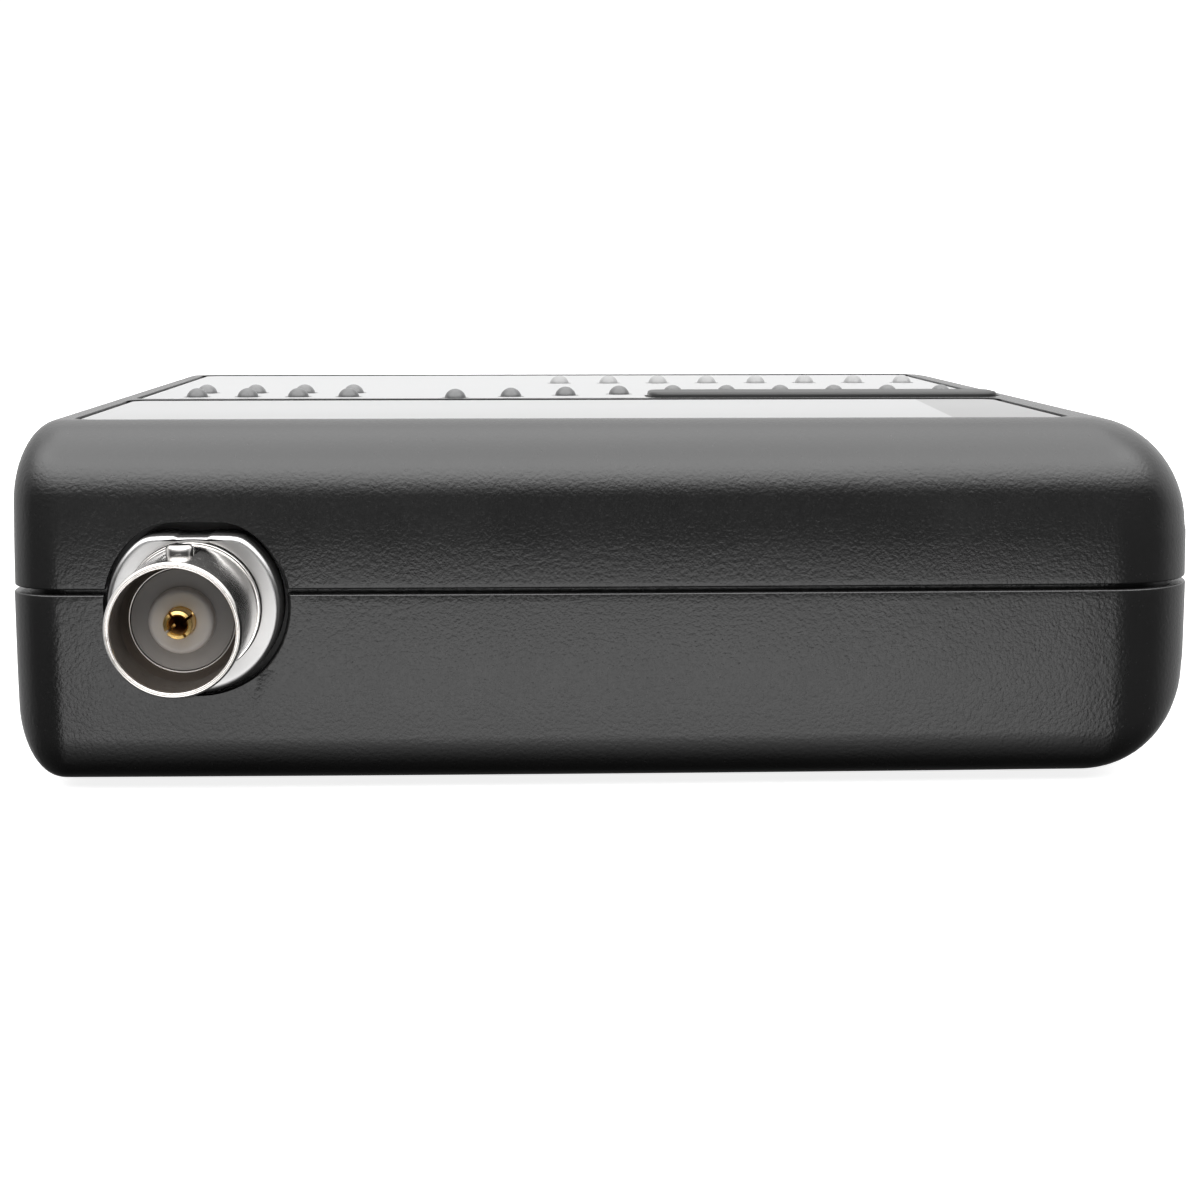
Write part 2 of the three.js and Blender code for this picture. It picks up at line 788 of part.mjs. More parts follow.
function usbShell() {
  const far = rearY - socketSetback;
  const near = far - usbLength;
  const middle = hungZ - usbHeight / 2;
  const half = usbMouthWidth / 2;
  const mouth = new THREE.Shape();
  mouth.moveTo(usbAcross - half, middle - usbMouthHeight / 2);
  mouth.lineTo(usbAcross + half, middle - usbMouthHeight / 2);
  mouth.lineTo(usbAcross + half, middle + usbMouthHeight / 2 - usbMouthChamfer);
  mouth.lineTo(usbAcross + half - usbMouthChamfer, middle + usbMouthHeight / 2);
  mouth.lineTo(usbAcross - half + usbMouthChamfer, middle + usbMouthHeight / 2);
  mouth.lineTo(usbAcross - half, middle + usbMouthHeight / 2 - usbMouthChamfer);
  return block([usbAcross - usbWidth / 2, near, hungZ - usbHeight],
    [usbAcross + usbWidth / 2, far, hungZ])
    .subtract(alongY(mouth, far - usbMouthDepth, far + overcut));
}

function usbTongue() {
  const far = rearY - socketSetback - usbTongueFromRim;
  const near = rearY - socketSetback - usbMouthDepth + touchGap;
  const middle = hungZ - usbHeight / 2;
  return block(
    [usbAcross - usbTongueWidth / 2, near, middle - usbTongueHeight / 2],
    [usbAcross + usbTongueWidth / 2, far, middle + usbTongueHeight / 2],
  );
}

// Slide switch: a box with a trough facing the wall, and the knob that runs in it
function modeSwitchBody() {
  const far = innerRearY - touchGap;
  const troughHalf = (knobWidth + knobTravel + slotPlay) / 2;
  return block(
    [switchAcross - switchWidth / 2, far - switchDepth, hungZ - switchHeight],
    [switchAcross + switchWidth / 2, far, hungZ],
  ).subtract(block(
    [switchAcross - troughHalf, far - knobSunk - touchGap, switchZ - knobHeight / 2 - touchGap],
    [switchAcross + troughHalf, far + overcut, switchZ + knobHeight / 2 + touchGap],
  ));
}

function modeSwitchKnob() {
  const middle = switchAcross - knobTravel / 2;
  return block(
    [middle - knobWidth / 2, innerRearY - touchGap - knobSunk, switchZ - knobHeight / 2],
    [middle + knobWidth / 2, rearY + knobReach, switchZ + knobHeight / 2],
  );
}

// Push button: a flanged cap behind the wall's hole and the tactile switch it presses
function armButtonCap() {
  const flangeFar = innerRearY - touchGap;
  const flangeNear = flangeFar - buttonFlangeThickness;
  const tip = rearY + buttonProud;
  const profile = [
    [0, flangeNear],
    [buttonFlangeRadius, flangeNear],
    [buttonFlangeRadius, flangeFar],
    [buttonRadius, flangeFar],
    [buttonRadius, tip - buttonChamfer],
    [buttonRadius - buttonChamfer, tip],
    [0, tip],
  ];
  return turned(profile, buttonAcross, buttonZ);
}

function armButtonSwitch() {
  const face = innerRearY - touchGap - buttonFlangeThickness - buttonTravel - touchGap;
  return block(
    [buttonAcross - tactWidth / 2, face - tactDepth, hungZ - tactHeight],
    [buttonAcross + tactWidth / 2, face, hungZ],
  );
}

function boardPart(part) {
  const y = frontY + part.depth;
  return block(
    [part.x - part.across / 2, y - part.along / 2, hungZ - part.height],
    [part.x + part.across / 2, y + part.along / 2, hungZ],
  );
}

function footPad([x, y]) {
  return post(x, y, footRadius, 0, baseZ + footSunk);
}

addPiece('upper_shell', toGeometry(upperShell()), 'shell');
addPiece('lower_shell', toGeometry(lowerShell()), 'shell');
addPiece('nameplate', toGeometry(topPlate(nameplate)), 'plate');
addPiece('control_overlay', toGeometry(overlaySheet()), 'overlay');
addPiece('light_bezel', toGeometry(bezelPlate()), 'bezel');
for (const [name, places] of Object.entries(pipeRows())) {
  addPiece(name, toGeometry(pipeComb(places)), 'pipe');
}
addPiece('main_board', toGeometry(boardSolid()), 'board');
addPiece('jack_housing', toGeometry(jackHousing()), 'nickel');
addPiece('jack_barrel', toGeometry(jackBarrel()), 'nickel');
addPiece('jack_insulator', toGeometry(jackInsulator()), 'dielectric');
addPiece('jack_contact', toGeometry(jackContact()), 'gold');
addPiece('channel_header', toGeometry(channelHeader()), 'header');
pinPlaces().forEach((place, index) => {
  addPiece(`header_pin_${index + 1}`, toGeometry(headerPin(place)), 'gold');
});
addPiece('usb_socket', toGeometry(usbShell()), 'nickel');
addPiece('usb_tongue', toGeometry(usbTongue()), 'header');
addPiece('mode_switch_body', toGeometry(modeSwitchBody()), 'steel');
addPiece('mode_switch_knob', toGeometry(modeSwitchKnob()), 'header');
addPiece('arm_button_switch', toGeometry(armButtonSwitch()), 'chip');
addPiece('arm_button_cap', toGeometry(armButtonCap()), 'cap');
addPiece('logic_chip', toGeometry(boardPart(logicChip)), 'chip');
addPiece('usb_chip', toGeometry(boardPart(usbChip)), 'chip');
addPiece('memory_chip', toGeometry(boardPart(memoryChip)), 'chip');
addPiece('crystal_can', toGeometry(boardPart(crystalCan)), 'nickel');
addPiece('regulator', toGeometry(boardPart(regulator)), 'chip');
bossPlaces().forEach((place, index) => {
  addPiece(`case_screw_${index + 1}`, toGeometry(caseScrew(place)), 'steel');
});
boardScrewPlaces().forEach((place, index) => {
  addPiece(`board_screw_${index + 1}`, toGeometry(boardScrew(place)), 'steel');
});
footPlaces().forEach((place, index) => {
  addPiece(`foot_${index + 1}`, toGeometry(footPad(place)), 'rubber');
});

export default object;
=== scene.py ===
import math
import bpy
import numpy as np
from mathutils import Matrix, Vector


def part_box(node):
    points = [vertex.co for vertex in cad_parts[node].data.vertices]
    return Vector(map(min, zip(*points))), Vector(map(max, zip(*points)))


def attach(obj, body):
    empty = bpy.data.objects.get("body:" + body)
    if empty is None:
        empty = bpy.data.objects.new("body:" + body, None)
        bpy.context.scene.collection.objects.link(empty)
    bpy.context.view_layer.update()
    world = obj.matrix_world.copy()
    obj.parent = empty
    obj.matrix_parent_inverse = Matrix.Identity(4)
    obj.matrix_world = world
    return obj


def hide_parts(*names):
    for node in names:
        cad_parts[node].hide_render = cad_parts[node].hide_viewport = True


# A bench logic analyzer: two moulded shells, a trigger jack on the near end, lights and labels on top.
# Shapes are worked out in millimetres and put into the meshes in metres.

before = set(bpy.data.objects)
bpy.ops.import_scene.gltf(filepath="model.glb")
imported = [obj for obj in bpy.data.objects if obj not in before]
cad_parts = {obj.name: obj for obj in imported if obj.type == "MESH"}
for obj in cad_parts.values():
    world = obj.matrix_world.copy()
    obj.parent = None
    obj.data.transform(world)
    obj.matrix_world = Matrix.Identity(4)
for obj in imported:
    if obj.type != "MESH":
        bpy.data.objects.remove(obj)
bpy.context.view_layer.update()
mm = 0.001
gap = 0.3
rng = np.random.default_rng(7)


def nodeBox(name):
    low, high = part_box(name)
    return np.array(low) / mm, np.array(high) / mm


def gridQuads(rows, columns, wrapRows=False):
    # one face for every cell of a grid whose columns run round in a ring
    r, c = np.meshgrid(np.arange(rows if wrapRows else rows - 1), np.arange(columns), indexing="ij")
    below, beside = (r + 1) % rows, (c + 1) % columns
    corners = [r * columns + c, r * columns + beside, below * columns + beside, below * columns + c]
    return np.stack(corners, -1).reshape(-1, 4)


def fanVolume(points, faces):
    # six times the volume between the origin and a stack of equal-sided faces
    a = points[faces[:, :1]]
    b, c = points[faces[:, 1:-1]], points[faces[:, 2:]]
    return np.sum(np.cross(b, c) * a)


def solid(grid, wrapRows=False):
    # grid[row, column] is a point; each row is a closed ring, and the end rings are capped unless the rows wrap
    rows, columns = grid.shape[:2]
    points = grid.reshape(-1, 3)
    quads = gridQuads(rows, columns, wrapRows)
    caps = np.zeros((0, columns), int) if wrapRows else np.array(
        [np.arange(columns)[::-1], np.arange(columns) + (rows - 1) * columns])
    volume = fanVolume(points, quads) + (0 if wrapRows else fanVolume(points, caps))
    if volume < 0:
        quads, caps = quads[:, ::-1], caps[:, ::-1]
    return points, quads.tolist() + caps.tolist()


def joined(*solids):
    points, faces, start = [], [], 0
    for places, sides in solids:
        faces += [[corner + start for corner in side] for side in sides]
        points.append(places)
        start += len(places)
    return np.concatenate(points), faces


def softened(corners, radii, steps=4):
    # each corner of a closed outline becomes a quadratic curve that leaves one side and joins the next
    p = np.asarray(corners, float)
    wanted = np.broadcast_to(np.asarray(radii, float), len(p))
    toBefore, toAfter = np.roll(p, 1, 0) - p, np.roll(p, -1, 0) - p
    before, after = np.linalg.norm(toBefore, axis=1), np.linalg.norm(toAfter, axis=1)
    reach = np.minimum(wanted, 0.48 * np.minimum(before, after))[:, None]
    a, b = p + toBefore / before[:, None] * reach, p + toAfter / after[:, None] * reach
    t = np.linspace(0, 1, steps + 1)[None, :, None]
    curve = ((1 - t) ** 2 * a[:, None] + 2 * t * (1 - t) * p[:, None] + t * t * b[:, None]).reshape(-1, 2)
    return curve[np.linalg.norm(curve - np.roll(curve, 1, 0), axis=1) > 1e-5]


def turned(profile, centre, along="y", steps=96, loop=True):
    # radius and height along the axis, swept round it: x = radius cos, z = radius sin, the height on the axis
    profile = np.asarray(profile, float)
    turn = np.linspace(0, 2 * np.pi, steps, endpoint=False)
    radius, height = profile[:, :1], profile[:, 1:] + 0 * turn
    first, second = radius * np.cos(turn), radius * np.sin(turn)
    order = {"y": (first, height, second), "z": (first, second, height)}[along]
    return solid(np.stack(order, -1) + np.asarray(centre, float), loop)


def roundedRing(left, right, near, far, radii, cornerSteps, sideSteps):
    # a rounded rectangle as a ring of points from the near left corner, counter-clockwise seen from above;
    # radii are (left, right), arrays as long as the stack of rings
    left, right, near, far = [np.asarray(v, float)[:, None] for v in (left, right, near, far)]
    rl, rr = [np.asarray(v, float)[:, None] for v in radii]
    arc = np.linspace(0, 1, cornerSteps, endpoint=False)[None, :] * np.pi / 2
    run = np.linspace(0, 1, sideSteps, endpoint=False)[None, :]
    xs = [left + rl - rl * np.cos(arc), left + rl + (right - rr - left - rl) * run,
          right - rr + rr * np.sin(arc), right + 0 * run,
          right - rr + rr * np.cos(arc), right - rr - (right - rr - left - rl) * run,
          left + rl - rl * np.sin(arc), left + 0 * run]
    ys = [near + rl - rl * np.sin(arc), near + 0 * run,
          near + rr - rr * np.cos(arc), near + rr + (far - near - 2 * rr) * run,
          far - rr + rr * np.sin(arc), far + 0 * run,
          far - rl + rl * np.cos(arc), far - rl - (far - near - 2 * rl) * run]
    return np.concatenate(xs, 1), np.concatenate(ys, 1)


def roundedBlock(low, high, corner=0.3, edge=0.2, along="z", cornerSteps=6, edgeSteps=4):
    # rounded rectangles stacked along an axis, drawn in over a quarter circle at both ends
    low, high = np.asarray(low, float), np.asarray(high, float)
    order = {"z": (0, 1, 2), "y": (2, 0, 1)}[along]
    l, h = low[list(order)], high[list(order)]
    quarter = np.linspace(0, np.pi / 2, edgeSteps + 1)
    inset = np.concatenate([edge * (1 - np.sin(quarter)), edge * (1 - np.sin(quarter[::-1]))])
    height = np.concatenate([l[2] + edge * (1 - np.cos(quarter)), h[2] - edge * (1 - np.cos(quarter[::-1]))])
    radius = np.maximum(corner - inset, 0.02)
    x, y = roundedRing(l[0] + inset, h[0] - inset, l[1] + inset, h[1] - inset, (radius, radius), cornerSteps, 2)
    grid = np.empty(x.shape + (3,))
    grid[..., order[0]], grid[..., order[1]], grid[..., order[2]] = x, y, height[:, None] + 0 * x
    return solid(grid)


def inScene(name, data):
    thing = bpy.data.objects.new(name, data)
    bpy.context.scene.collection.objects.link(thing)
    return thing


def addMesh(name, shape):
    points, faces = shape
    mesh = bpy.data.meshes.new(name)
    mesh.from_pydata((points * mm).tolist(), [], faces)
    mesh.validate()
    return inScene(name, mesh)


def worked(piece, shape, how="DIFFERENCE"):
    # joins a solid to a piece, or cuts it away, and keeps the result as the piece's mesh
    tool = addMesh("tool", shape)
    cut = piece.modifiers.new("cut", "BOOLEAN")
    cut.operation, cut.solver, cut.object = how, "MANIFOLD", tool
    bpy.context.view_layer.update()
    result = bpy.data.meshes.new_from_object(piece.evaluated_get(bpy.context.evaluated_depsgraph_get()))
    piece.modifiers.clear()
    before, piece.data = piece.data, result
    bpy.data.meshes.remove(before)
    bpy.data.objects.remove(tool)
    if not len(result.polygons):
        raise RuntimeError(piece.name + " was cut away")
    return piece


def finishPiece(piece, material, stands=(), body="case", sharp=32):
    mesh = piece.data
    mesh.materials.clear()
    mesh.materials.append(material)
    mesh.polygons.foreach_set("material_index", np.zeros(len(mesh.polygons), np.int32))
    mesh.polygons.foreach_set("use_smooth", np.ones(len(mesh.polygons), bool))
    mesh.set_sharp_from_angle(angle=math.radians(sharp))
    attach(piece, body)
    if stands:
        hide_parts(*stands)
    return piece


class Wire:
    # a shader socket that can be used in sums
    def __init__(self, tree, socket):
        self.tree, self.socket = tree, socket

    def maths(self, operation, *values):
        node = self.tree.nodes.new("ShaderNodeMath")
        node.operation = operation
        for slot, value in zip(node.inputs, values):
            if isinstance(value, Wire):
                self.tree.links.new(value.socket, slot)
            else:
                slot.default_value = value
        return Wire(self.tree, node.outputs[0])

    def __add__(self, other):
        return self.maths("ADD", self, other)

    def __radd__(self, other):
        return self.maths("ADD", other, self)

    def __sub__(self, other):
        return self.maths("SUBTRACT", self, other)

    def __rsub__(self, other):
        return self.maths("SUBTRACT", other, self)

    def __mul__(self, other):
        return self.maths("MULTIPLY", self, other)

    def __rmul__(self, other):
        return self.maths("MULTIPLY", other, self)

    def __truediv__(self, other):
        return self.maths("DIVIDE", self, other)

    def __rtruediv__(self, other):
        return self.maths("DIVIDE", other, self)

    def __abs__(self):
        return self.maths("ABSOLUTE", self)

    def root(self):
        return self.maths("SQRT", self)

    def wave(self, length):
        return (self * (2 * math.pi / length)).maths("SINE", self * (2 * math.pi / length))

    def stepPart(self, length):
        # how far through its step a place is, 0 to 1
        steps = self / length
        return steps.maths("FRACT", steps)

    def over(self, edge, width):
        # 0 below the edge and 1 above it, with a soft change that wide
        node = self.tree.nodes.new("ShaderNodeMapRange")
        node.interpolation_type = "SMOOTHSTEP"
        self.tree.links.new(self.socket, node.inputs["Value"])
        node.inputs["From Min"].default_value = edge - width / 2
        node.inputs["From Max"].default_value = edge + width / 2
        return Wire(self.tree, node.outputs["Result"])


class Nodes:
    # a node tree whose nodes are made by type, settings first, then socket values and links
    def __init__(self, tree):
        self.tree = tree
        tree.nodes.clear()

    def put(self, node, socket, value):
        if isinstance(value, Wire):
            self.tree.links.new(value.socket, node.inputs[socket])
        else:
            node.inputs[socket].default_value = value

    def node(self, kind, settings=None, out=0, **sockets):
        # sockets are named, with _ for a space, or numbered, as in s6
        node = self.tree.nodes.new(kind)
        for key, value in (settings or {}).items():
            if key == "stops":
                ramp = node.color_ramp
                while len(ramp.elements) < len(value):
                    ramp.elements.new(0.5)
                for element, (position, colour) in zip(ramp.elements, value):
                    element.position, element.color = position, colour
            else:
                setattr(node, key, value)
        for socket, value in sockets.items():
            self.put(node, int(socket[1:]) if socket[1:].isdigit() else socket.replace("_", " "), value)
        return Wire(self.tree, node.outputs[out]) if node.outputs else None

    def parts(self, vector):
        split = self.node("ShaderNodeSeparateXYZ", Vector=vector)
        return [Wire(self.tree, socket) for socket in split.socket.node.outputs]


class Finish(Nodes):
    # a material's nodes round one principled shader
    def __init__(self, name, **fixed):
        self.material = bpy.data.materials.new(name)
        self.material.use_nodes = True
        super().__init__(self.material.node_tree)
        self.shader = self.node("ShaderNodeBsdfPrincipled").socket.node
        self.node("ShaderNodeOutputMaterial", Surface=Wire(self.tree, self.shader.outputs[0]))
        self.use(**fixed)
        self.place = self.node("ShaderNodeTexCoord", out="Object")

    def noise(self, size, detail=3, rough=0.55, stretch=(1, 1, 1)):
        # cloudy variation whose blobs are about that many millimetres across
        spread = self.node("ShaderNodeMapping", Vector=self.place, Scale=stretch)
        return self.node("ShaderNodeTexNoise", Vector=spread, Scale=1 / (size * mm), Detail=detail, Roughness=rough)

    def axes(self):
        return self.parts(self.place)

    def tint(self, factor, first, second):
        return self.node("ShaderNodeMix", {"data_type": "RGBA"}, 2, s0=factor, s6=first, s7=second)

    def bump(self, height, depth, strength=1.0, under=None):
        # height 0 to 1 stands for that many millimetres
        below = {} if under is None else {"Normal": under}
        return self.node("ShaderNodeBump", Height=height, Distance=depth * mm, Strength=strength, **below)

    def use(self, **wires):
        for socket, value in wires.items():
            self.put(self.shader, socket.replace("_", " "), value)
        return self.material

    def surface(self, colour, rough, texture):
        return self.use(Base_Color=colour, Roughness=rough, Normal=texture)


def grey(value, warm=0.0):
    return (value * (1 + warm), value, value * (1 - warm), 1)


plasticLook = {"dark": 0.0100, "light": 0.0160, "roughness": 0.175, "grain": 0.27, "grainDepth": 0.034}


def mouldedPlastic():
    # black textured moulding: fine leathery grain, faint cloudy sheen, pale dust in the grain
    f = Finish("moulded plastic", IOR=1.5)
    cloud = f.noise(9, 3)
    grain = f.noise(plasticLook["grain"], 2, 0.6)
    pits = f.noise(0.9, 2, 0.5).over(0.62, 0.10)
    specks = f.noise(0.22, 1).over(0.75, 0.03)
    base = f.tint(cloud, grey(plasticLook["dark"]), grey(plasticLook["light"]))
    colour = f.tint(specks * 0.25, base, grey(0.08, 0.03))
    rough = plasticLook["roughness"] + (cloud - 0.5) * 0.12 + (grain - 0.5) * 0.16
    texture = f.bump(grain, plasticLook["grainDepth"], 0.75)
    return f.surface(colour, rough, f.bump(pits, 0.004, 0.5, texture))


def fromJackAxis(f):
    # distance from the jack's axis and place along it, in millimetres
    x, y, z = f.axes()
    across, up = x - jackX * mm, z - jackZ * mm
    return (across * across + up * up).root() / mm, y / mm


def nickelPlate(name="nickel plate", bright=0.80, rough=0.13):
    # plated brass: soft turning lines round the jack's axis, hazy spots and a little tarnish
    f = Finish(name, Metallic=1.0)
    cloud = f.noise(2.2, 4, 0.6)
    lines = f.noise(0.16, 2, 0.7, (1, 7, 1))
    spots = f.noise(0.5, 2).over(0.66, 0.08)
    colour = f.tint(cloud, grey(bright * 0.93, 0.048), grey(bright * 1.08, 0.015))
    colour = f.tint(spots * 0.35, colour, grey(bright * 0.55, 0.06))
    f.colour, f.rough = colour, rough + (cloud - 0.5) * 0.10 + spots * 0.12
    f.surface(f.colour, f.rough, f.bump(lines, 0.0022, 0.6))
    return f


def barrelNickel():
    # the jack's plating: bright outside; down the bore a darker brownish colour is painted shade, and the metal is
    # rougher there
    b = barrelShape
    f = nickelPlate("barrel nickel", 0.78, 0.12)
    radius, along = fromJackAxis(f)
    # painted shade: the bore's colour goes to a dark brownish tone, darkened less past the ring step
    bore = (1 - radius.over(b["bore"] + 0.04, 0.05)) * along.over(rimY + 0.35, 0.4)
    deep = along.over(rimY + b["ringFromRim"] - 0.02, 0.04)
    boreShade = bore * (1 - deep * 0.6)
    return f.use(Base_Color=f.tint(boreShade, f.colour, b["boreShadeTone"]), Roughness=f.rough + bore * 0.24)


def bushingMetal():
    # satin cast face of the bushing with fine random scratches
    f = Finish("bushing metal", Metallic=1.0)
    cloud = f.noise(3, 4, 0.6)
    scratch = f.noise(0.9, 3, 0.7, (1, 1, 9)).over(0.70, 0.03)
    fine = f.noise(0.22, 2, 0.6)
    colour = f.tint(cloud, grey(0.47, 0.012), grey(0.56, 0.004))
    colour = f.tint(scratch * 0.30, colour, grey(0.30))
    return f.surface(colour, 0.30 + (cloud - 0.5) * 0.14 + scratch * 0.1, f.bump(fine, 0.003, 0.5))


def contactGold():
    # gold plate with painted shade down the contact's bore: dark brown and less metallic where the tube is enclosed
    f = goldPlate("contact gold")
    c = contactShape
    radius, along = fromJackAxis(f)
    # painted shade: inside the contact's bore the gold turns dark brown and loses its metal
    bore = (1 - radius.over(c["bore"] + 0.045, 0.06)) * along.over(rimY + c["darkFromRim"], 0.25)
    colour = f.tint(bore * 0.93, f.colour, c["boreShadeTone"])
    return f.use(Base_Color=colour, Roughness=f.rough + bore * 0.3, Metallic=1 - bore * 0.85)


def goldPlate(name="gold plate"):
    f = Finish(name, Metallic=1.0)
    cloud = f.noise(0.8, 3)
    fine = f.noise(0.12, 2)
    f.colour = f.tint(cloud, (0.76, 0.47, 0.13, 1), (0.95, 0.70, 0.30, 1))
    f.rough = 0.17 + cloud * 0.14
    f.surface(f.colour, f.rough, f.bump(fine, 0.002, 0.5))
    return f


def insulatorResin():
    # milky fluoropolymer, slightly warm; the flange behind its boss is painted greyer as shade deep in the bore
    f = Finish("insulator resin", IOR=1.38)
    cloud = f.noise(1.6, 3)
    fine = f.noise(0.14, 2)
    radius, along = fromJackAxis(f)
    boss = 1 - radius.over(insulatorShape["boss"] + 0.03, 0.06)
    # painted shade: the flange round the boss takes a grey about half as bright as the boss
    colour = f.tint(boss, f.tint(cloud, grey(0.50, 0.01), grey(0.58, 0.02)),
                    f.tint(cloud, grey(0.92, 0.03), grey(0.98, 0.018)))
    return f.surface(colour, 0.42 + (cloud - 0.5) * 0.2, f.bump(fine, 0.003, 0.5))


def printedFilm(name, ground, field=None):
    # matt polycarbonate film with a fine orange peel, and a field of another grey if there is one
    f = Finish(name, IOR=1.42)
    cloud = f.noise(14, 3)
    peel = f.noise(0.5, 2)
    colour = f.tint(cloud, grey(ground * 0.96), grey(ground * 1.03, -0.006))
    if field:
        colour = field(f, colour)
    return f.surface(colour, 0.48 + (cloud - 0.5) * 0.12, f.bump(peel, 0.004, 0.5))


def mottled(name, dark, pale, rough, swing, blobs, grain, depth, strength=0.6, **fixed):
    # two tones and a roughness that follow cloudy blobs, over a fine grain
    f = Finish(name, **fixed)
    cloud = f.noise(*blobs)
    return f.surface(f.tint(cloud, dark, pale), rough + cloud * swing, f.bump(f.noise(*grain), depth, strength))


def plainPlastic(name, value, rough, grain, depth):
    return mottled(name, grey(value * 0.82), grey(value * 1.2), rough - 0.07, 0.14, (3, 3), (grain, 2), depth,
                   IOR=1.48)


def footRubber():
    f = Finish("foot rubber", IOR=1.45)
    cloud, fine = f.noise(2, 4), f.noise(0.3, 3, 0.7)
    dust = f.noise(1.1, 4, 0.7).over(0.58, 0.2)
    colour = f.tint(dust * 0.5, f.tint(cloud, grey(0.012), grey(0.020)), grey(0.06, 0.04))
    return f.surface(colour, 0.78 + dust * 0.12, f.bump(fine, 0.02, 0.7))


def pipeResin():
    # clear grey acrylic with its lights off, paler towards the rear of the case
    f = Finish("pipe resin", IOR=1.49, Coat_Weight=0.5, Coat_Roughness=0.08)
    cloud, fine = f.noise(1.5, 2), f.noise(0.2, 2)
    x, y, z = f.axes()
    back = (y / mm - 2) / 26
    colour = f.tint(back, f.tint(cloud, grey(0.055), grey(0.085, -0.02)), grey(0.42))
    return f.surface(colour, 0.30 + cloud * 0.1, f.bump(fine, 0.002, 0.4))


def boardLaminate():
    # solder mask over copper: woven glass under a glossy green, with faint tracks every 2.54 mm
    f = Finish("board laminate", IOR=1.5)
    x, y, z = f.axes()
    weave, weft = x.wave(0.6 * mm), y.wave(0.6 * mm)
    tracks = abs(x.stepPart(2.54 * mm) - 0.5).over(0.36, 0.04)
    broken = f.noise(6, 2, 0.5, (1, 0.3, 1)).over(0.5, 0.05)
    colour = f.tint(tracks * broken, (0.010, 0.060, 0.022, 1), (0.020, 0.120, 0.045, 1))
    height = weave * weft * 0.25 + tracks * broken
    return f.surface(colour, 0.28 + broken * 0.08, f.bump(height, 0.03, 0.6))


print("finishes")
nickel = nickelPlate().material
gold = goldPlate().material
casePlastic = mouldedPlastic()
blackPlastic = plainPlastic("black plastic", 0.016, 0.42, 0.3, 0.006)
bezelPlastic = plainPlastic("bezel plastic", 0.020, 0.38, 0.6, 0.005)
capPlastic = plainPlastic("cap plastic", 0.34, 0.36, 0.5, 0.004)
rubber = footRubber()
steel = mottled("screw steel", grey(0.42, 0.02), grey(0.60, 0.01), 0.27, 0.16, (1.2, 4), (0.2, 2, 0.6, (1, 1, 6)),
                0.004, Metallic=1.0)
pipe = pipeResin()
laminate = boardLaminate()
chip = mottled("chip plastic", grey(0.014), grey(0.024), 0.52, 0.12, (2.5, 3), (0.16, 2), 0.012, 0.8, IOR=1.55)

caseLow = np.minimum(nodeBox("upper_shell")[0], nodeBox("lower_shell")[0])
caseHigh = np.maximum(nodeBox("upper_shell")[1], nodeBox("lower_shell")[1])
caseShape = {
    "wall": 2.2, "grooveHalf": 0.2, "lip": 0.14, "tongue": 0.9, "tongueRise": 1.2, "fit": 0.3,
    "leftTop": (3.4, 6.1), "rightTop": (8.3, 8.6), "endTop": (4.5, 5.6),
    "leftLow": (3.2, 5.9), "rightLow": (8.2, 8.2), "endLow": (2.7, 3.6),
    "leftPlan": 4.2, "rightPlan": 7.4, "bow": 0.5, "upperDraft": 0.02, "lowerDraft": 0.0, "upperStep": 0.05,
    "upperCrown": 0.42, "lowerCrown": 0.26,
}
partingZ = nodeBox("upper_shell")[0][2] - caseShape["grooveHalf"]
cornerSteps, sideSteps = 12, 24


def shellRings(insets, heights, corners, sinks, sign, crown):
    # a stack of rounded rectangles; insets are from the case's sides, and heights are of each corner's start;
    # corners holds (across, up) radii for left, right and ends; sinks pulls each side in by across (1 - cos)
    # and drops it by up (1 - sin), with the up radius changing smoothly from side to side;
    # sign is 1 for the upper shell and -1 for the lower; crown is how far the end walls alone lean in
    s = caseShape
    (al, ul), (ar, ur), (ae, ue) = corners
    left = caseLow[0] + insets + al * sinks[0]
    right = caseHigh[0] - insets - ar * sinks[0]
    near = caseLow[1] + insets + ae * sinks[0] + crown
    far = caseHigh[1] - insets - ae * sinks[0] - crown
    rl = np.maximum(s["leftPlan"] * (1 - 0.85 * sinks[0]) - insets * 0.8, 0.35)
    rr = np.maximum(s["rightPlan"] * (1 - 0.85 * sinks[0]) - insets * 0.8, 0.5)
    x, y = roundedRing(left, right, near, far, (rl, rr), cornerSteps, sideSteps)
    turn = np.linspace(0, 1, cornerSteps, endpoint=False)
    swing = 0.5 - 0.5 * np.cos(turn * np.pi)
    run = np.zeros(sideSteps)
    up = np.concatenate([ul + (ue - ul) * swing, run + ue, ue + (ur - ue) * swing, run + ur,
                         ur + (ue - ur) * swing, run + ue, ue + (ul - ue) * swing, run + ul])
    z = heights[:, None] - sign * up * sinks[1][:, None]
    half = (caseHigh[0] - caseLow[0]) / 2
    middle = (caseHigh[1] + caseLow[1]) / 2
    nearness = np.clip((middle - y) / (middle - caseLow[1]), 0, 1)
    y = y + s["bow"] * (x / half) ** 2 * nearness ** 0.5
    return np.stack([x, y, z], -1)


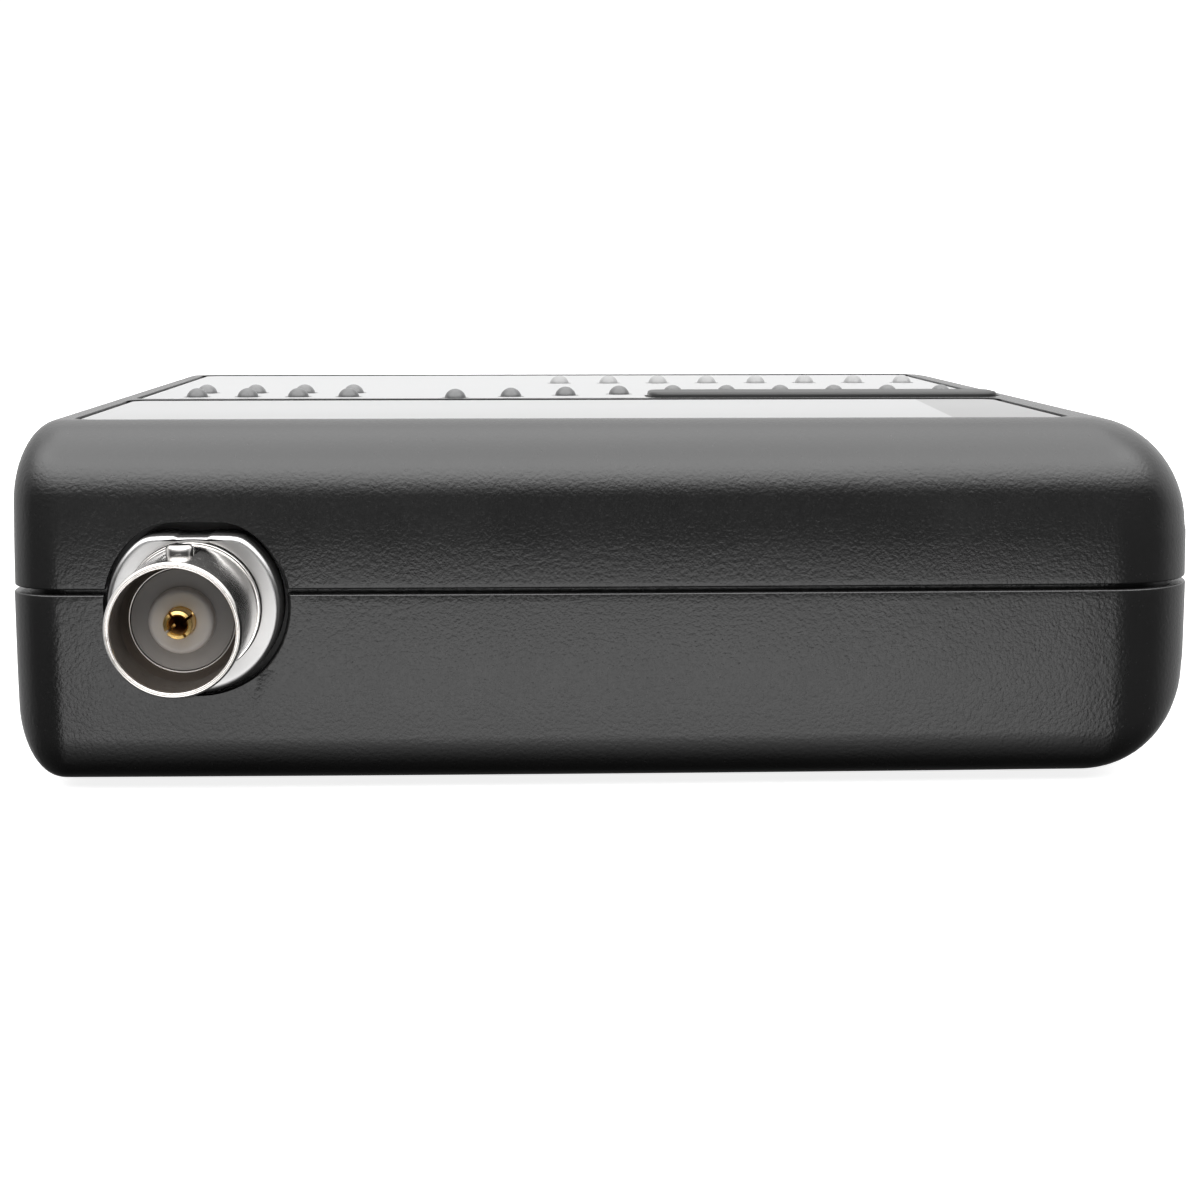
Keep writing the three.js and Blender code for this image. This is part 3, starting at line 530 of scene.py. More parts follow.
def shellStack(top, corners, lowerShell):
    # rings listed as rows of (inset, height, pull-in 0..1, drop 0..1, lean): outside from the cap to the
    # parting, the rounded lip, the rebate or tongue, then the inner wall back to the inner cap
    s = caseShape
    sign = -1 if lowerShell else 1
    flat = partingZ + sign * s["grooveHalf"]
    draft = s["lowerDraft"] if lowerShell else s["upperDraft"]
    outside = 0.0 if lowerShell else s["upperStep"]
    crown = s["lowerCrown"] if lowerShell else s["upperCrown"]
    turn = np.linspace(np.pi / 2, 0, 17)
    endUp = corners[2][1]

    def lean(height):
        # grows as the square of the height from the parting
        return crown * ((height - flat) / (top - sign * endUp - flat)) ** 2
    cap = [(outside + draft, top, 1 - math.cos(a), 1 - math.sin(a), lean(top - sign * endUp * (1 - math.sin(a))))
           for a in turn]
    wallTop = top - sign * max(up for across, up in corners)
    down = np.linspace(0.06, 1, 10)
    heights = wallTop + (flat + sign * s["lip"] - wallTop) * down
    wall = [(outside + draft * (1 - t), height, 0, 0, lean(height)) for t, height in zip(down, heights)]
    lip = [(outside + s["lip"] * (1 - math.cos(a)), flat + sign * s["lip"] * (1 - math.sin(a)))
           for a in np.linspace(0.25, np.pi / 2, 6)]
    inner = s["wall"]
    if lowerShell:
        tongueAt = inner - s["tongue"]
        tip = partingZ + s["tongueRise"]
        step = [(tongueAt, flat), (tongueAt, tip - 0.15), (tongueAt + 0.15, tip), (inner - 0.1, tip),
                (inner, tip - 0.1)]
    else:
        rebateAt = inner - s["tongue"] - s["fit"]
        ceiling = partingZ + s["tongueRise"] + s["fit"]
        step = [(rebateAt, flat), (rebateAt, ceiling - 0.05), (inner - 0.05, ceiling), (inner, ceiling + 0.05)]
    upright = [(inset, height, 0, 0, 0) for inset, height in lip + step + [(inner, wallTop)]]
    insets, heights, pull, drop, leans = np.array(cap + wall + upright).T
    outer = shellRings(insets, heights, corners, (pull, drop), sign, leans)
    tight = [(max(across - inner, 0.6), max(up - inner, 0.6)) for across, up in corners]
    back = turn[::-2]
    under = shellRings(inner + 0 * back, top - sign * inner + 0 * back, tight,
                       (1 - np.cos(back), 1 - np.sin(back)), sign, 0 * back)
    return np.concatenate([outer, under])


def outlineCutter(outline, y0, y1, flare=0.25, steps=4):
    # an outline in x and z carried along y through a wall, opening out over a quarter circle at its near end
    a = np.linspace(np.pi / 2, 0, steps + 1)
    grow = np.concatenate([[flare], flare * (1 - np.cos(a)), [0, 0]])
    at = np.concatenate([[y0 - 1.5], y0 + flare * (1 - np.sin(a)), [(y0 + y1) / 2, y1]])
    centre = outline.mean(0)
    out = outline - centre
    normal = np.roll(out, -1, 0) - np.roll(out, 1, 0)
    normal = np.stack([normal[:, 1], -normal[:, 0]], -1)
    normal /= np.linalg.norm(normal, axis=1)[:, None]
    normal *= np.sign(np.sum(normal * out))
    ring = outline[None] + normal[None] * grow[:, None, None]
    return solid(np.stack([ring[..., 0], at[:, None] + 0 * ring[..., 0], ring[..., 1]], -1))


print("case")
jackLow, jackHigh = nodeBox("jack_barrel")
jackX, jackZ = (jackLow[0] + jackHigh[0]) / 2, (jackLow[2] + jackHigh[2]) / 2
rimY, frontY, rearY = jackLow[1], caseLow[1], caseHigh[1]
# the bushing's D, and how much larger the hole round it is
bushShape = {"round": 6.425, "flat": 5.4, "bore": 5.0, "proud": 1.0, "edge": 0.4, "hole": 0.45, "holeFlat": 0.9,
             "notchHalf": 1.25, "notch": 0.12}


def dOutline(radius, flat, steps=160, sharpness=26):
    # a circle whose top is cut by a flat, blended by a high power mean: 1 / r^n = 1 / R^n + (sin / flat)^n
    turn = np.linspace(0, 2 * np.pi, steps, endpoint=False)
    rise = np.clip(np.sin(turn), 1e-3, None) / flat
    reach = (radius ** -float(sharpness) + rise ** sharpness) ** (-1.0 / sharpness)
    return turn, reach


turn, reach = dOutline(bushShape["round"] + bushShape["hole"], bushShape["flat"] + bushShape["holeFlat"])
jackHole = np.stack([jackX + reach * np.cos(turn), jackZ + reach * np.sin(turn)], -1)
bowAtJack = caseShape["bow"] * (jackX / caseHigh[0]) ** 2

topCorners = [caseShape[k] for k in ("leftTop", "rightTop", "endTop")]
lowCorners = [caseShape[k] for k in ("leftLow", "rightLow", "endLow")]
upperCase = addMesh("case_top", solid(shellStack(caseHigh[2], topCorners, False)))
lowerCase = addMesh("case_bottom", solid(shellStack(caseLow[2], lowCorners, True)))

screwBoxes = [nodeBox(f"case_screw_{i}") for i in (1, 2, 3, 4)]
boardScrewBoxes = [nodeBox(f"board_screw_{i}") for i in (1, 2)]
footBoxes = [nodeBox(f"foot_{i}") for i in (1, 2, 3, 4)]
ceilingZ, floorZ = caseHigh[2] - caseShape["wall"], caseLow[2] + caseShape["wall"]


def middleOf(box):
    return (box[0][0] + box[1][0]) / 2, (box[0][1] + box[1][1]) / 2


def postAt(box, radius, low, high, edge=0.15):
    x, y = middleOf(box)
    corners = [(0.01, low), (radius, low), (radius, high), (0.01, high)]
    return turned(softened(corners, [0, edge, edge, 0], 3), (x, y, 0), "z", 48)


# posts and wells for the screws, and wells for the feet: radii and the screw seat's depth
postShape = {"upper": 3.5, "lower": 4.2, "board": 2.6, "hole": 1.75, "well": 3.1, "flare": 0.4, "seat": 7.0,
             "footFlare": 0.25}
ps = postShape
bottom = caseLow[2]
for box in screwBoxes:
    worked(upperCase, postAt(box, ps["upper"], partingZ + 0.2, ceilingZ + 1), "UNION")
    worked(lowerCase, postAt(box, ps["lower"], floorZ - 1, partingZ - 0.2), "UNION")
for box in boardScrewBoxes:
    worked(upperCase, postAt(box, ps["board"], nodeBox("main_board")[1][2] + gap, ceilingZ + 1), "UNION")
worked(upperCase, joined(*[postAt(b, ps["hole"], bottom, b[1][2] + gap, 0) for b in screwBoxes + boardScrewBoxes]))
wells = []
for box in screwBoxes:
    x, y = middleOf(box)
    mouth, well, hole = ps["well"] + ps["flare"], ps["well"], ps["hole"]
    edge = [(0.01, bottom - 1), (mouth, bottom - 1), (mouth, bottom), (well, bottom + ps["flare"]),
            (well, bottom + ps["seat"]), (hole, bottom + ps["seat"]), (hole, partingZ + 5), (0.01, partingZ + 5)]
    wells.append(turned(edge, (x, y, 0), "z", 48))
for box in footBoxes:
    x, y = middleOf(box)
    radius = (box[1][0] - box[0][0]) / 2 + gap
    mouth, top = radius + ps["footFlare"], box[1][2] + gap
    edge = [(0.01, bottom - 1), (mouth, bottom - 1), (mouth, bottom), (radius, bottom + ps["footFlare"]),
            (radius, top), (0.01, top)]
    wells.append(turned(edge, (x, y, 0), "z", 64))
worked(lowerCase, joined(*wells))



def pocket(name, low):
    # a rounded cutter a little wider than a sheet on the top, from a height upwards
    (x0, y0, _), (x1, y1, _) = nodeBox(name)
    return roundedBlock((x0 - gap, y0 - gap, low), (x1 + gap, y1 + gap, caseHigh[2] + 2), 1.8, 0.0, "z", 10, 1)


for name in ("nameplate", "control_overlay", "light_bezel"):
    worked(upperCase, pocket(name, nodeBox("nameplate")[0][2] - gap))


# each light is a dome on a bar three millimetres wide, in a hole a little larger
lightShape = {"radius": 1.0, "proud": 0.7, "hole": 1.25, "barHalf": 1.5, "barCorner": 0.4, "barEdge": 0.15}


def pipeRow(name, count, slant=False):
    # the lights of one row, spread evenly between the ends of its bar
    low, high = nodeBox(name)
    reach = half = lightShape["barHalf"]
    if slant:
        angle = math.atan2(high[1] - low[1] - 2 * half, high[0] - low[0] - 2 * half)
        reach = half * math.cos(angle) + half * math.sin(angle)
        x = np.linspace(high[0] - reach, low[0] + reach, count)
        y = np.linspace(high[1] - reach, low[1] + reach, count)
        return list(zip(x, y)), low, high
    x = np.linspace(high[0] - reach, low[0] + reach, count)
    return [(v, (low[1] + high[1]) / 2) for v in x], low, high


pipeRows = {
    "light_pipes_front": (6, False), "light_pipes_middle": (4, True), "light_pipes_rear": (8, False),
    "light_pipes_left_near": (4, False), "light_pipes_left_far": (4, False),
}
hole = lightShape["hole"]
bore = [(0.01, ceilingZ - 1), (hole, ceilingZ - 1), (hole, caseHigh[2] + 2), (0.01, caseHigh[2] + 2)]
pipeHoles = []
for name, (count, slant) in pipeRows.items():
    places, low, high = pipeRow(name, count, slant)
    pipeHoles += [turned(bore, (x, y, 0), "z", 32) for x, y in places]
worked(upperCase, joined(*pipeHoles))

openings = [outlineCutter(jackHole, frontY + bowAtJack, frontY + caseShape["wall"] + 1.5)]
# the windows in the far wall: how far they reach in, the knob's travel and the button's hole
windowShape = {"depth": 3.2, "travel": 3.0, "button": 2.6, "buttonFlare": 0.3}
inY, outY = rearY - windowShape["depth"], rearY + 2
knobLow, knobHigh = nodeBox("mode_switch_knob")
for name, travel, corner in (("channel_header", 0, 0.5), ("usb_socket", 0, 0.4),
                             ("mode_switch_knob", windowShape["travel"], 0.5)):
    low, high = nodeBox(name)
    openings.append(roundedBlock((low[0] - gap, inY, low[2] - gap), (high[0] + travel + gap, outY, high[2] + gap),
                                 corner, 0.0, "y", 6, 1))
capLow, capHigh = nodeBox("arm_button_cap")
capX, capZ = (capLow[0] + capHigh[0]) / 2, (capLow[2] + capHigh[2]) / 2
hole, flare = windowShape["button"], windowShape["buttonFlare"]
openings.append(turned([(0.01, inY), (hole, inY), (hole, rearY - flare), (hole + flare, rearY), (hole + flare, outY),
                        (0.01, outY)], (capX, 0, capZ), "y", 64))
for shape in openings:
    worked(upperCase, shape)
    worked(lowerCase, shape)
finishPiece(upperCase, casePlastic, ["upper_shell"])
finishPiece(lowerCase, casePlastic, ["lower_shell"])


print("top")
filmShape = {"corner": 1.5, "edge": 0.08, "label": 0.55, "overlay": 0.60}
stripe = {"from": 26.9, "lean": 0.065, "value": 0.39}


def greyStripe(f, ground):
    # a leaning grey field at the right end of the nameplate
    low, high = nodeBox("nameplate")
    x, y, z = f.axes()
    lean = x - (y - low[1] * mm) * stripe["lean"]
    return f.tint((lean / mm).over(stripe["from"], 0.25), ground, grey(stripe["value"]))


def filmSheet(name, node):
    return addMesh(name, roundedBlock(*nodeBox(node), filmShape["corner"], filmShape["edge"], "z", 12, 3))


nameplate = filmSheet("nameplate_film", "nameplate")
finishPiece(nameplate, printedFilm("label film", filmShape["label"], greyStripe), ["nameplate"])

overlay = filmSheet("overlay_film", "control_overlay")
worked(overlay, pocket("light_bezel", ceilingZ))
worked(overlay, joined(*pipeHoles))
finishPiece(overlay, printedFilm("overlay film", filmShape["overlay"]), ["control_overlay"])
bezel = addMesh("light_strip", roundedBlock(*nodeBox("light_bezel"), 1.5, 0.3, "z", 12, 4))
worked(bezel, joined(*pipeHoles))
finishPiece(bezel, bezelPlastic, ["light_bezel"])

ls = lightShape
barHigh = ceilingZ - gap
for name, (count, slant) in pipeRows.items():
    places, low, high = pipeRow(name, count, slant)
    if slant:
        # the bar is made along x and turned to lie under its lights
        (x0, y0), (x1, y1) = places[-1], places[0]
        length = math.hypot(x1 - x0, y1 - y0)
        c, s = (x1 - x0) / length, (y1 - y0) / length
        half = ls["barHalf"]
        points, faces = roundedBlock((-length / 2 - half, -half, low[2]), (length / 2 + half, half, barHigh),
                                     ls["barCorner"], ls["barEdge"])
        x, y, z = points.T
        bar = np.stack([x * c - y * s + (x0 + x1) / 2, x * s + y * c + (y0 + y1) / 2, z], -1), faces
    else:
        bar = roundedBlock(low, (high[0], high[1], barHigh), ls["barCorner"], ls["barEdge"])
    comb = addMesh(name.replace("light_pipes", "lights"), bar)
    a = np.linspace(0, np.pi / 2 * 0.985, 9)
    radius, top = ls["radius"], caseHigh[2] + ls["proud"]
    arc = np.stack([radius * np.cos(a), top - radius + radius * np.sin(a)], -1)
    dome = np.concatenate([[[radius, (low[2] + barHigh) / 2]], arc])
    worked(comb, joined(*[turned(dome, (x, y, 0), "z", 32, False) for x, y in places]), "UNION")
    finishPiece(comb, pipe, [name])


print("jack")
# radii, and lengths from the rim or from the case's face
barrelShape = {"radius": 4.825, "bore": 4.36, "ringBore": 3.76, "ringFromRim": 5.35, "stepLength": 0.9,
               "boreDepth": 8.5, "tail": 2.65, "inside": 9.7, "band": 5.0, "bandLength": 0.6, "bandFromFace": 1.3,
               "lugRadius": 1.0, "lugRise": 0.675, "lugFromRim": 4.8, "boreShadeTone": (0.205, 0.180, 0.160, 1)}
# the rim's two thin lips and the groove between them: out from the bore, back from the rim, corner rounding
rimSection = [(0, 1.2, 0.4), (0.03, 0.08, 0.03), (0.06, 0.03, 0.02), (0.11, 0.03, 0.02), (0.15, 0.16, 0.03),
              (0.24, 0.16, 0.03), (0.28, 0, 0.02), (0.33, 0, 0.02)]


def roundJack(profile, steps=96):
    return turned(profile, (jackX, 0, jackZ), "y", steps)


def barrelSurface():
    # the barrel's wall section, corners softened, swept once round the jack's axis
    b = barrelShape
    radius, bore, ring, band, tail = [b[k] for k in ("radius", "bore", "ringBore", "band", "tail")]
    bandFar = frontY - b["bandFromFace"]
    bandNear = bandFar - b["bandLength"]
    stepY, deepY, farY = rimY + b["ringFromRim"], rimY + b["boreDepth"], frontY + b["inside"]
    rows = np.array([(bore + out, rimY + back, soft) for out, back, soft in rimSection] + [
        (radius, rimY + 0.25, 0.08), (radius, bandNear, 0.04), (band, bandNear, 0.05), (band, bandFar, 0.05),
        (radius, bandFar, 0.04), (radius, farY, 0.3), (tail, farY, 0.2), (tail, deepY, 0.2), (ring, deepY, 0.1),
        (ring, stepY, 0.03), (ring + 0.07, stepY, 0.03), (bore, stepY - b["stepLength"], 0.2)])
    return roundJack(softened(rows[:, :2], rows[:, 2], 4), 160)


def lugSurface(side):
    # a chamfered round peg standing out of the barrel; side is 1 above and -1 below
    b = barrelShape
    root, tip, peg = b["bore"] + 0.04, b["radius"] + b["lugRise"], b["lugRadius"]
    profile = [(peg, root), (peg, tip - 0.22), (peg - 0.05, tip - 0.15), (peg - 0.18, tip - 0.02), (peg - 0.26, tip),
               (0.3, tip)]
    points, faces = turned(profile, (0, 0, 0), "z", 40, False)
    points = points * [1, 1, side] + [jackX, rimY + b["lugFromRim"], jackZ]
    return points, faces if side > 0 else [face[::-1] for face in faces]


barrel = addMesh("trigger_barrel", barrelSurface())
worked(barrel, joined(lugSurface(1), lugSurface(-1)), "UNION")
finishPiece(barrel, barrelNickel(), ["jack_barrel"], sharp=38)


def bushingSurface():
    # rings that run from the bore, across the flatted face and round its edge to the outside and back:
    # each ring mixes the bore's circle with the D outline and steps in by a little for the rounded edges
    b = bushShape
    turn, reach = dOutline(b["round"], b["flat"], 240, 30)
    across = reach * np.cos(turn)
    notch = (np.sin(turn) > 0) * b["notch"] / (1 + np.exp((np.abs(across) - b["notchHalf"]) * 24))
    reach = reach - notch
    face, back = frontY - b["proud"], frontY + caseShape["wall"] + 1.2
    a = np.linspace(0, np.pi / 2, 7)
    mix = np.concatenate([[0, 0, 0.05, 0.3, 0.6], np.ones(7), [1, 1, 0]])
    inset = np.concatenate([[0, 0, 0, 0, 0], b["edge"] * (1 - np.sin(a)), [0, 0, 0]])
    at = np.concatenate([[back, face + 0.1, face + 0.02, face, face],
                         face + b["edge"] * (1 - np.cos(a)), [(face + back) / 2, back, back]])
    radius = (1 - mix)[:, None] * b["bore"] + mix[:, None] * reach - inset[:, None]
    grid = np.stack([jackX + radius * np.cos(turn), at[:, None] + 0 * radius, jackZ + radius * np.sin(turn)], -1)
    return solid(grid, True)


houseLow, houseHigh = nodeBox("jack_housing")
housing = addMesh("trigger_bushing", bushingSurface())
finishPiece(housing, bushingMetal(), ["jack_housing"], sharp=40)
# the block behind the bushing, made black as painted shade in the gap round the bushing, with a wide ring of room for
# it and a bore for the barrel's tail
holderShape = {"fromFace": 2.5, "ring": 6.5, "ringTo": 3.5, "clear": 5.2, "clearTo": 10.0, "corner": 0.8, "edge": 0.3}
hs = holderShape
holder = addMesh("trigger_holder", roundedBlock((houseLow[0], frontY + hs["fromFace"], houseLow[2]), houseHigh,
                                                hs["corner"], hs["edge"], "y"))
steps = [(hs["ring"], -3), (hs["ring"], hs["ringTo"]), (hs["clear"], hs["ringTo"]), (hs["clear"], hs["clearTo"]),
         (barrelShape["tail"], hs["clearTo"])]
room = [(0.01, frontY - 3)] + [(radius, frontY + at) for radius, at in steps]
room += [(barrelShape["tail"], houseHigh[1] + 1), (0.01, houseHigh[1] + 1)]
worked(holder, roundJack(room))
# painted shade: the block is black so the gap round the bushing reads dark
finishPiece(holder, blackPlastic, ["jack_housing"])

insulatorShape = {"bore": 1.10, "boss": 2.35, "flange": 3.7, "bossFromRim": 4.3, "flangeFromRim": 5.4,
                  "flangeTo": 8.2}


def insulatorSurface():
    # a flange with a boss before it and a stem behind it, bored through and swept round the jack's axis
    shape = insulatorShape
    bore, boss, flange = shape["bore"], shape["boss"], shape["flange"]
    near, front, behind = [rimY + shape[k] for k in ("bossFromRim", "flangeFromRim", "flangeTo")]
    back = nodeBox("jack_insulator")[1][1]
    corners = [(bore, near), (boss, near), (boss, front), (flange, front), (flange, behind), (boss, behind),
               (boss, back), (bore, back)]
    return roundJack(softened(corners, [0.15, 0.42, 0.12, 0.06, 0.1, 0.1, 0.1, 0.1], 6))


insulator = addMesh("trigger_insulator", insulatorSurface())
finishPiece(insulator, insulatorResin(), ["jack_insulator"], sharp=40)


contactShape = {"radius": 1.075, "mouth": 0.78, "bore": 0.675, "depth": 4.6, "slot": 0.2, "slotLength": 3.0,
                "slotTurns": (33, 123), "darkFromRim": 3.05, "boreShadeTone": (0.30, 0.135, 0.040, 1)}


def contactSurface():
    # a thin tube with a rolled mouth, swept round the jack's axis; its bore ends in a cone
    radius, mouth, bore, depth = [contactShape[k] for k in ("radius", "mouth", "bore", "depth")]
    near, far = nodeBox("jack_contact")[0][1], nodeBox("jack_contact")[1][1]
    outer = [(mouth, near), (1.0, near + 0.08), (radius, near + 0.3), (radius, far - 0.2), (0.9, far), (0.05, far)]
    inner = [(0.05, near + depth + 0.6), (bore, near + depth), (bore, near + 0.12)]
    return roundJack(outer + inner, 64)


def slotBlade(degrees):
    # a thin upright block through the contact's mouth, turned round the jack's axis
    half, near = contactShape["slot"] / 2, nodeBox("jack_contact")[0][1]
    points, faces = roundedBlock((-half, near - 1, -2), (half, near + contactShape["slotLength"], 2),
                                 0.02, 0.0, "y", 2, 1)
    c, s = math.cos(math.radians(degrees)), math.sin(math.radians(degrees))
    x, y, z = points.T
    return np.stack([jackX + c * x - s * z, y, jackZ + s * x + c * z], -1), faces


contact = addMesh("trigger_contact", contactSurface())
for degrees in contactShape["slotTurns"]:
    worked(contact, slotBlade(degrees))
finishPiece(contact, contactGold(), ["jack_contact"])


print("cable end")
headerShape = {"wall": 1.2, "floor": 2.4, "key": 4.5, "pin": 0.64, "pinGap": 0.2}
pinNames = [f"header_pin_{i}" for i in range(1, 21)]
h = headerShape
low, high = nodeBox("channel_header")
header = addMesh("channel_shroud", roundedBlock(low, high, 0.35, 0.2, "y"))
inLow, inHigh, floorY = low + h["wall"], high - h["wall"], low[1] + h["floor"]
worked(header, roundedBlock((inLow[0], floorY, inLow[2]), (inHigh[0], high[1] + 1, inHigh[2]), 0.25, 0.0, "y", 4, 1))
keyMiddle, keyHalf = (low[0] + high[0]) / 2, h["key"] / 2
worked(header, roundedBlock((keyMiddle - keyHalf, floorY, low[2] - 1),
                            (keyMiddle + keyHalf, high[1] + 1, inLow[2] + 0.5), 0.2, 0.0, "y", 4, 1))
pinWidth, pinGap = h["pin"], h["pinGap"]
pinHoles = []
for name in pinNames:
    pinLow, pinHigh = nodeBox(name)
    pinHoles.append(roundedBlock((pinLow[0] - pinGap, low[1] - 1, pinLow[2] - pinGap),
                                 (pinHigh[0] + pinGap, floorY + 1, pinLow[2] + pinWidth + pinGap),
                                 0.02, 0.0, "y", 2, 1))
worked(header, joined(*pinHoles))
finishPiece(header, blackPlastic, ["channel_header"])


def pinSurface(pinLow, pinHigh):
    # a square section carried along the pin's path: in from its pointed tip, round the bend and up to the board
    half = pinWidth / 2
    side = softened([(-half, -half), (half, -half), (half, half), (-half, half)], 0.06, 2)
    tip, legY = pinHigh[1], pinLow[1] + half
    lowZ, bend = pinLow[2] + half, 0.5
    a = np.linspace(0, np.pi / 2, 5)
    arc = np.stack([legY + bend - bend * np.sin(a), lowZ + bend - bend * np.cos(a)], -1)
    path = np.concatenate([[[tip, lowZ], [tip - 0.5, lowZ]], arc, [[legY, pinHigh[2]]]])
    lean = np.concatenate([[0, 0], a, [np.pi / 2]])
    scale = np.concatenate([[0.45], np.ones(len(path) - 1)])
    x = (pinLow[0] + pinHigh[0]) / 2 + side[None, :, 0] * scale[:, None]
    rise = side[None, :, 1] * scale[:, None]
    y = path[:, :1] + rise * np.sin(lean)[:, None]
    z = path[:, 1:] + rise * np.cos(lean)[:, None]
    return solid(np.stack([x + 0 * y, y, z], -1))


for name in pinNames:
    pin = addMesh(name.replace("header", "channel"), pinSurface(*nodeBox(name)))
    finishPiece(pin, gold, [name])

# the mouth's half width and half height, the cut across its two upper corners, and its depth
usbShape = {"across": 4.225, "up": 3.89, "bevel": 1.6, "depth": 9.0, "corner": 0.9, "edge": 0.25}
low, high = nodeBox("usb_socket")
usbX, usbZ = (low[0] + high[0]) / 2, (low[2] + high[2]) / 2
usb = addMesh("usb_shell", roundedBlock(low, high, usbShape["corner"], usbShape["edge"], "y"))
across, up, bevel = usbShape["across"], usbShape["up"], usbShape["bevel"]
mouth = softened([(-across, -up), (across, -up), (across, up - bevel), (across - bevel, up), (bevel - across, up),
                  (-across, up - bevel)], 0.4, 4)
mouthAt = high[1] + np.array([1, 0, -0.3, -usbShape["depth"]])
ring = mouth[None] * np.array([1.07, 1.07, 1.0, 1.0])[:, None, None]
worked(usb, solid(np.stack([usbX + ring[..., 0], mouthAt[:, None] + 0 * ring[..., 0], usbZ + ring[..., 1]], -1)))
finishPiece(usb, nickel, ["usb_socket"])
tongue = addMesh("usb_insert", roundedBlock(*nodeBox("usb_tongue"), 0.3, 0.25, "y"))
finishPiece(tongue, blackPlastic, ["usb_tongue"])

switchBody = addMesh("mode_switch_frame", roundedBlock(*nodeBox("mode_switch_body"), 0.3, 0.15, "y"))
worked(switchBody, roundedBlock(knobLow - gap, (knobHigh[0] + windowShape["travel"] + gap, high[1] + 1,
                                                knobHigh[2] + gap), 0.2, 0.0, "y", 4, 1))
finishPiece(switchBody, steel, ["mode_switch_body"])


knobShape = {"depth": 0.07, "pitch": 0.5, "length": 2.5}


def knobSurface():
    # a small rounded bar whose top and bottom ripple near its tip: depth times (1 - cos(2 pi place / pitch)) / 2
    k = knobShape
    steps = np.linspace(0, 1, 46)
    at = knobLow[1] + (knobHigh[1] - knobLow[1]) * steps
    fromTip = knobHigh[1] - at
    grip = k["depth"] * (1 - np.cos(2 * np.pi * fromTip / k["pitch"])) / 2 * (fromTip < k["length"])
    roundEnd = 0.2 * np.clip(1 - fromTip / 0.3, 0, 1) ** 2 + 0.15 * np.clip(1 - steps * 20, 0, 1) ** 2
    inset = grip + roundEnd
    radius = np.full(len(steps), 0.25)
    z, x = roundedRing(knobLow[2] + inset, knobHigh[2] - inset, knobLow[0] + roundEnd, knobHigh[0] - roundEnd,
                       (radius, radius), 5, 3)
    return solid(np.stack([x, at[:, None] + 0 * x, z], -1))


knob = addMesh("mode_knob", knobSurface())
finishPiece(knob, blackPlastic, ["mode_switch_knob"], body="mode_switch_knob")

capShape = {"flange": 3.0, "flangeLength": 0.8, "radius": 2.3, "dish": 0.16}
cs = capShape
neckY = capLow[1] + cs["flangeLength"]
corners = [(0.05, capLow[1]), (cs["flange"], capLow[1]), (cs["flange"], neckY), (cs["radius"], neckY),
           (cs["radius"], capHigh[1]), (0.9, capHigh[1] - 0.02), (0.05, capHigh[1] - cs["dish"])]
cap = addMesh("arm_cap", turned(softened(corners, [0, 0.15, 0.15, 0.12, 0.4, 0.6, 0], 6), (capX, 0, capZ), "y", 80))
finishPiece(cap, capPlastic, ["arm_button_cap"], body="arm_button_cap", sharp=40)


print("feet and screws")
for i, (low, high) in enumerate(footBoxes, 1):
    # a disc with a shallow dish in its underside
    radius = (high[0] - low[0]) / 2
    corners = [(0.05, low[2] + 0.12), (2.6, low[2] + 0.1), (3.0, low[2]), (radius - 0.12, low[2]), (radius, high[2]),
               (0.05, high[2])]
    x, y = middleOf((low, high))
    foot = turned(softened(corners, [0, 0.3, 0.2, 0.35, 0.12, 0], 5), (x, y, 0), "z", 96)
    finishPiece(addMesh(f"rubber_foot_{i}", foot), rubber, [f"foot_{i}"], sharp=40)


def screwSurface(x, y, headLow, headHigh, headRadius, shaftRadius, tip, pitch):
    # domed head, then a shaft whose radius follows a helix: radius plus depth times cos(turn - height per pitch)
    turn = np.linspace(0, 2 * np.pi, 48, endpoint=False)
    a = np.linspace(0, np.pi / 2, 6)
    headR = np.concatenate([[0.3], headRadius - 0.35 + 0.35 * np.sin(a), [headRadius, shaftRadius * 0.8]])
    headZ = np.concatenate([[headLow], headLow + 0.35 * (1 - np.cos(a)), [headHigh, headHigh]])
    run = np.linspace(headHigh + 0.1, tip, int((tip - headHigh) / pitch * 10))
    depth = 0.12 * shaftRadius * np.clip((run - headHigh) / pitch, 0, 1) * np.clip((tip - run) / pitch * 1.5, 0, 1)
    wave = depth[:, None] * (np.cos(turn[None] - 2 * np.pi * run[:, None] / pitch) - 1)
    shaft = shaftRadius + wave - 0.35 * shaftRadius * (run[:, None] > tip - 0.3)
    radius = np.concatenate([np.repeat(headR[:, None], len(turn), 1), shaft])
    height = np.concatenate([headZ, run])[:, None] + 0 * radius
    return solid(np.stack([x + radius * np.cos(turn), y + radius * np.sin(turn), height], -1))


def crossRecess(x, y, low, reach, depth, angle):
    # two crossed slots that narrow as they go in
    def blade(tilt):
        c, s = math.cos(tilt), math.sin(tilt)
        rows = np.array([[reach * 1.1, low - 0.5], [reach, low], [reach * 0.55, low + depth]])
        wide = np.array([0.32, 0.32, 0.2])
        u = np.stack([-rows[:, 0], rows[:, 0], rows[:, 0], -rows[:, 0]], -1)
        v = np.stack([-wide, -wide, wide, wide], -1)
        z = np.repeat(rows[:, 1:], 4, 1)
        return solid(np.stack([x + u * c - v * s, y + u * s + v * c, z], -1))
    return blade(angle), blade(angle + math.pi / 2)


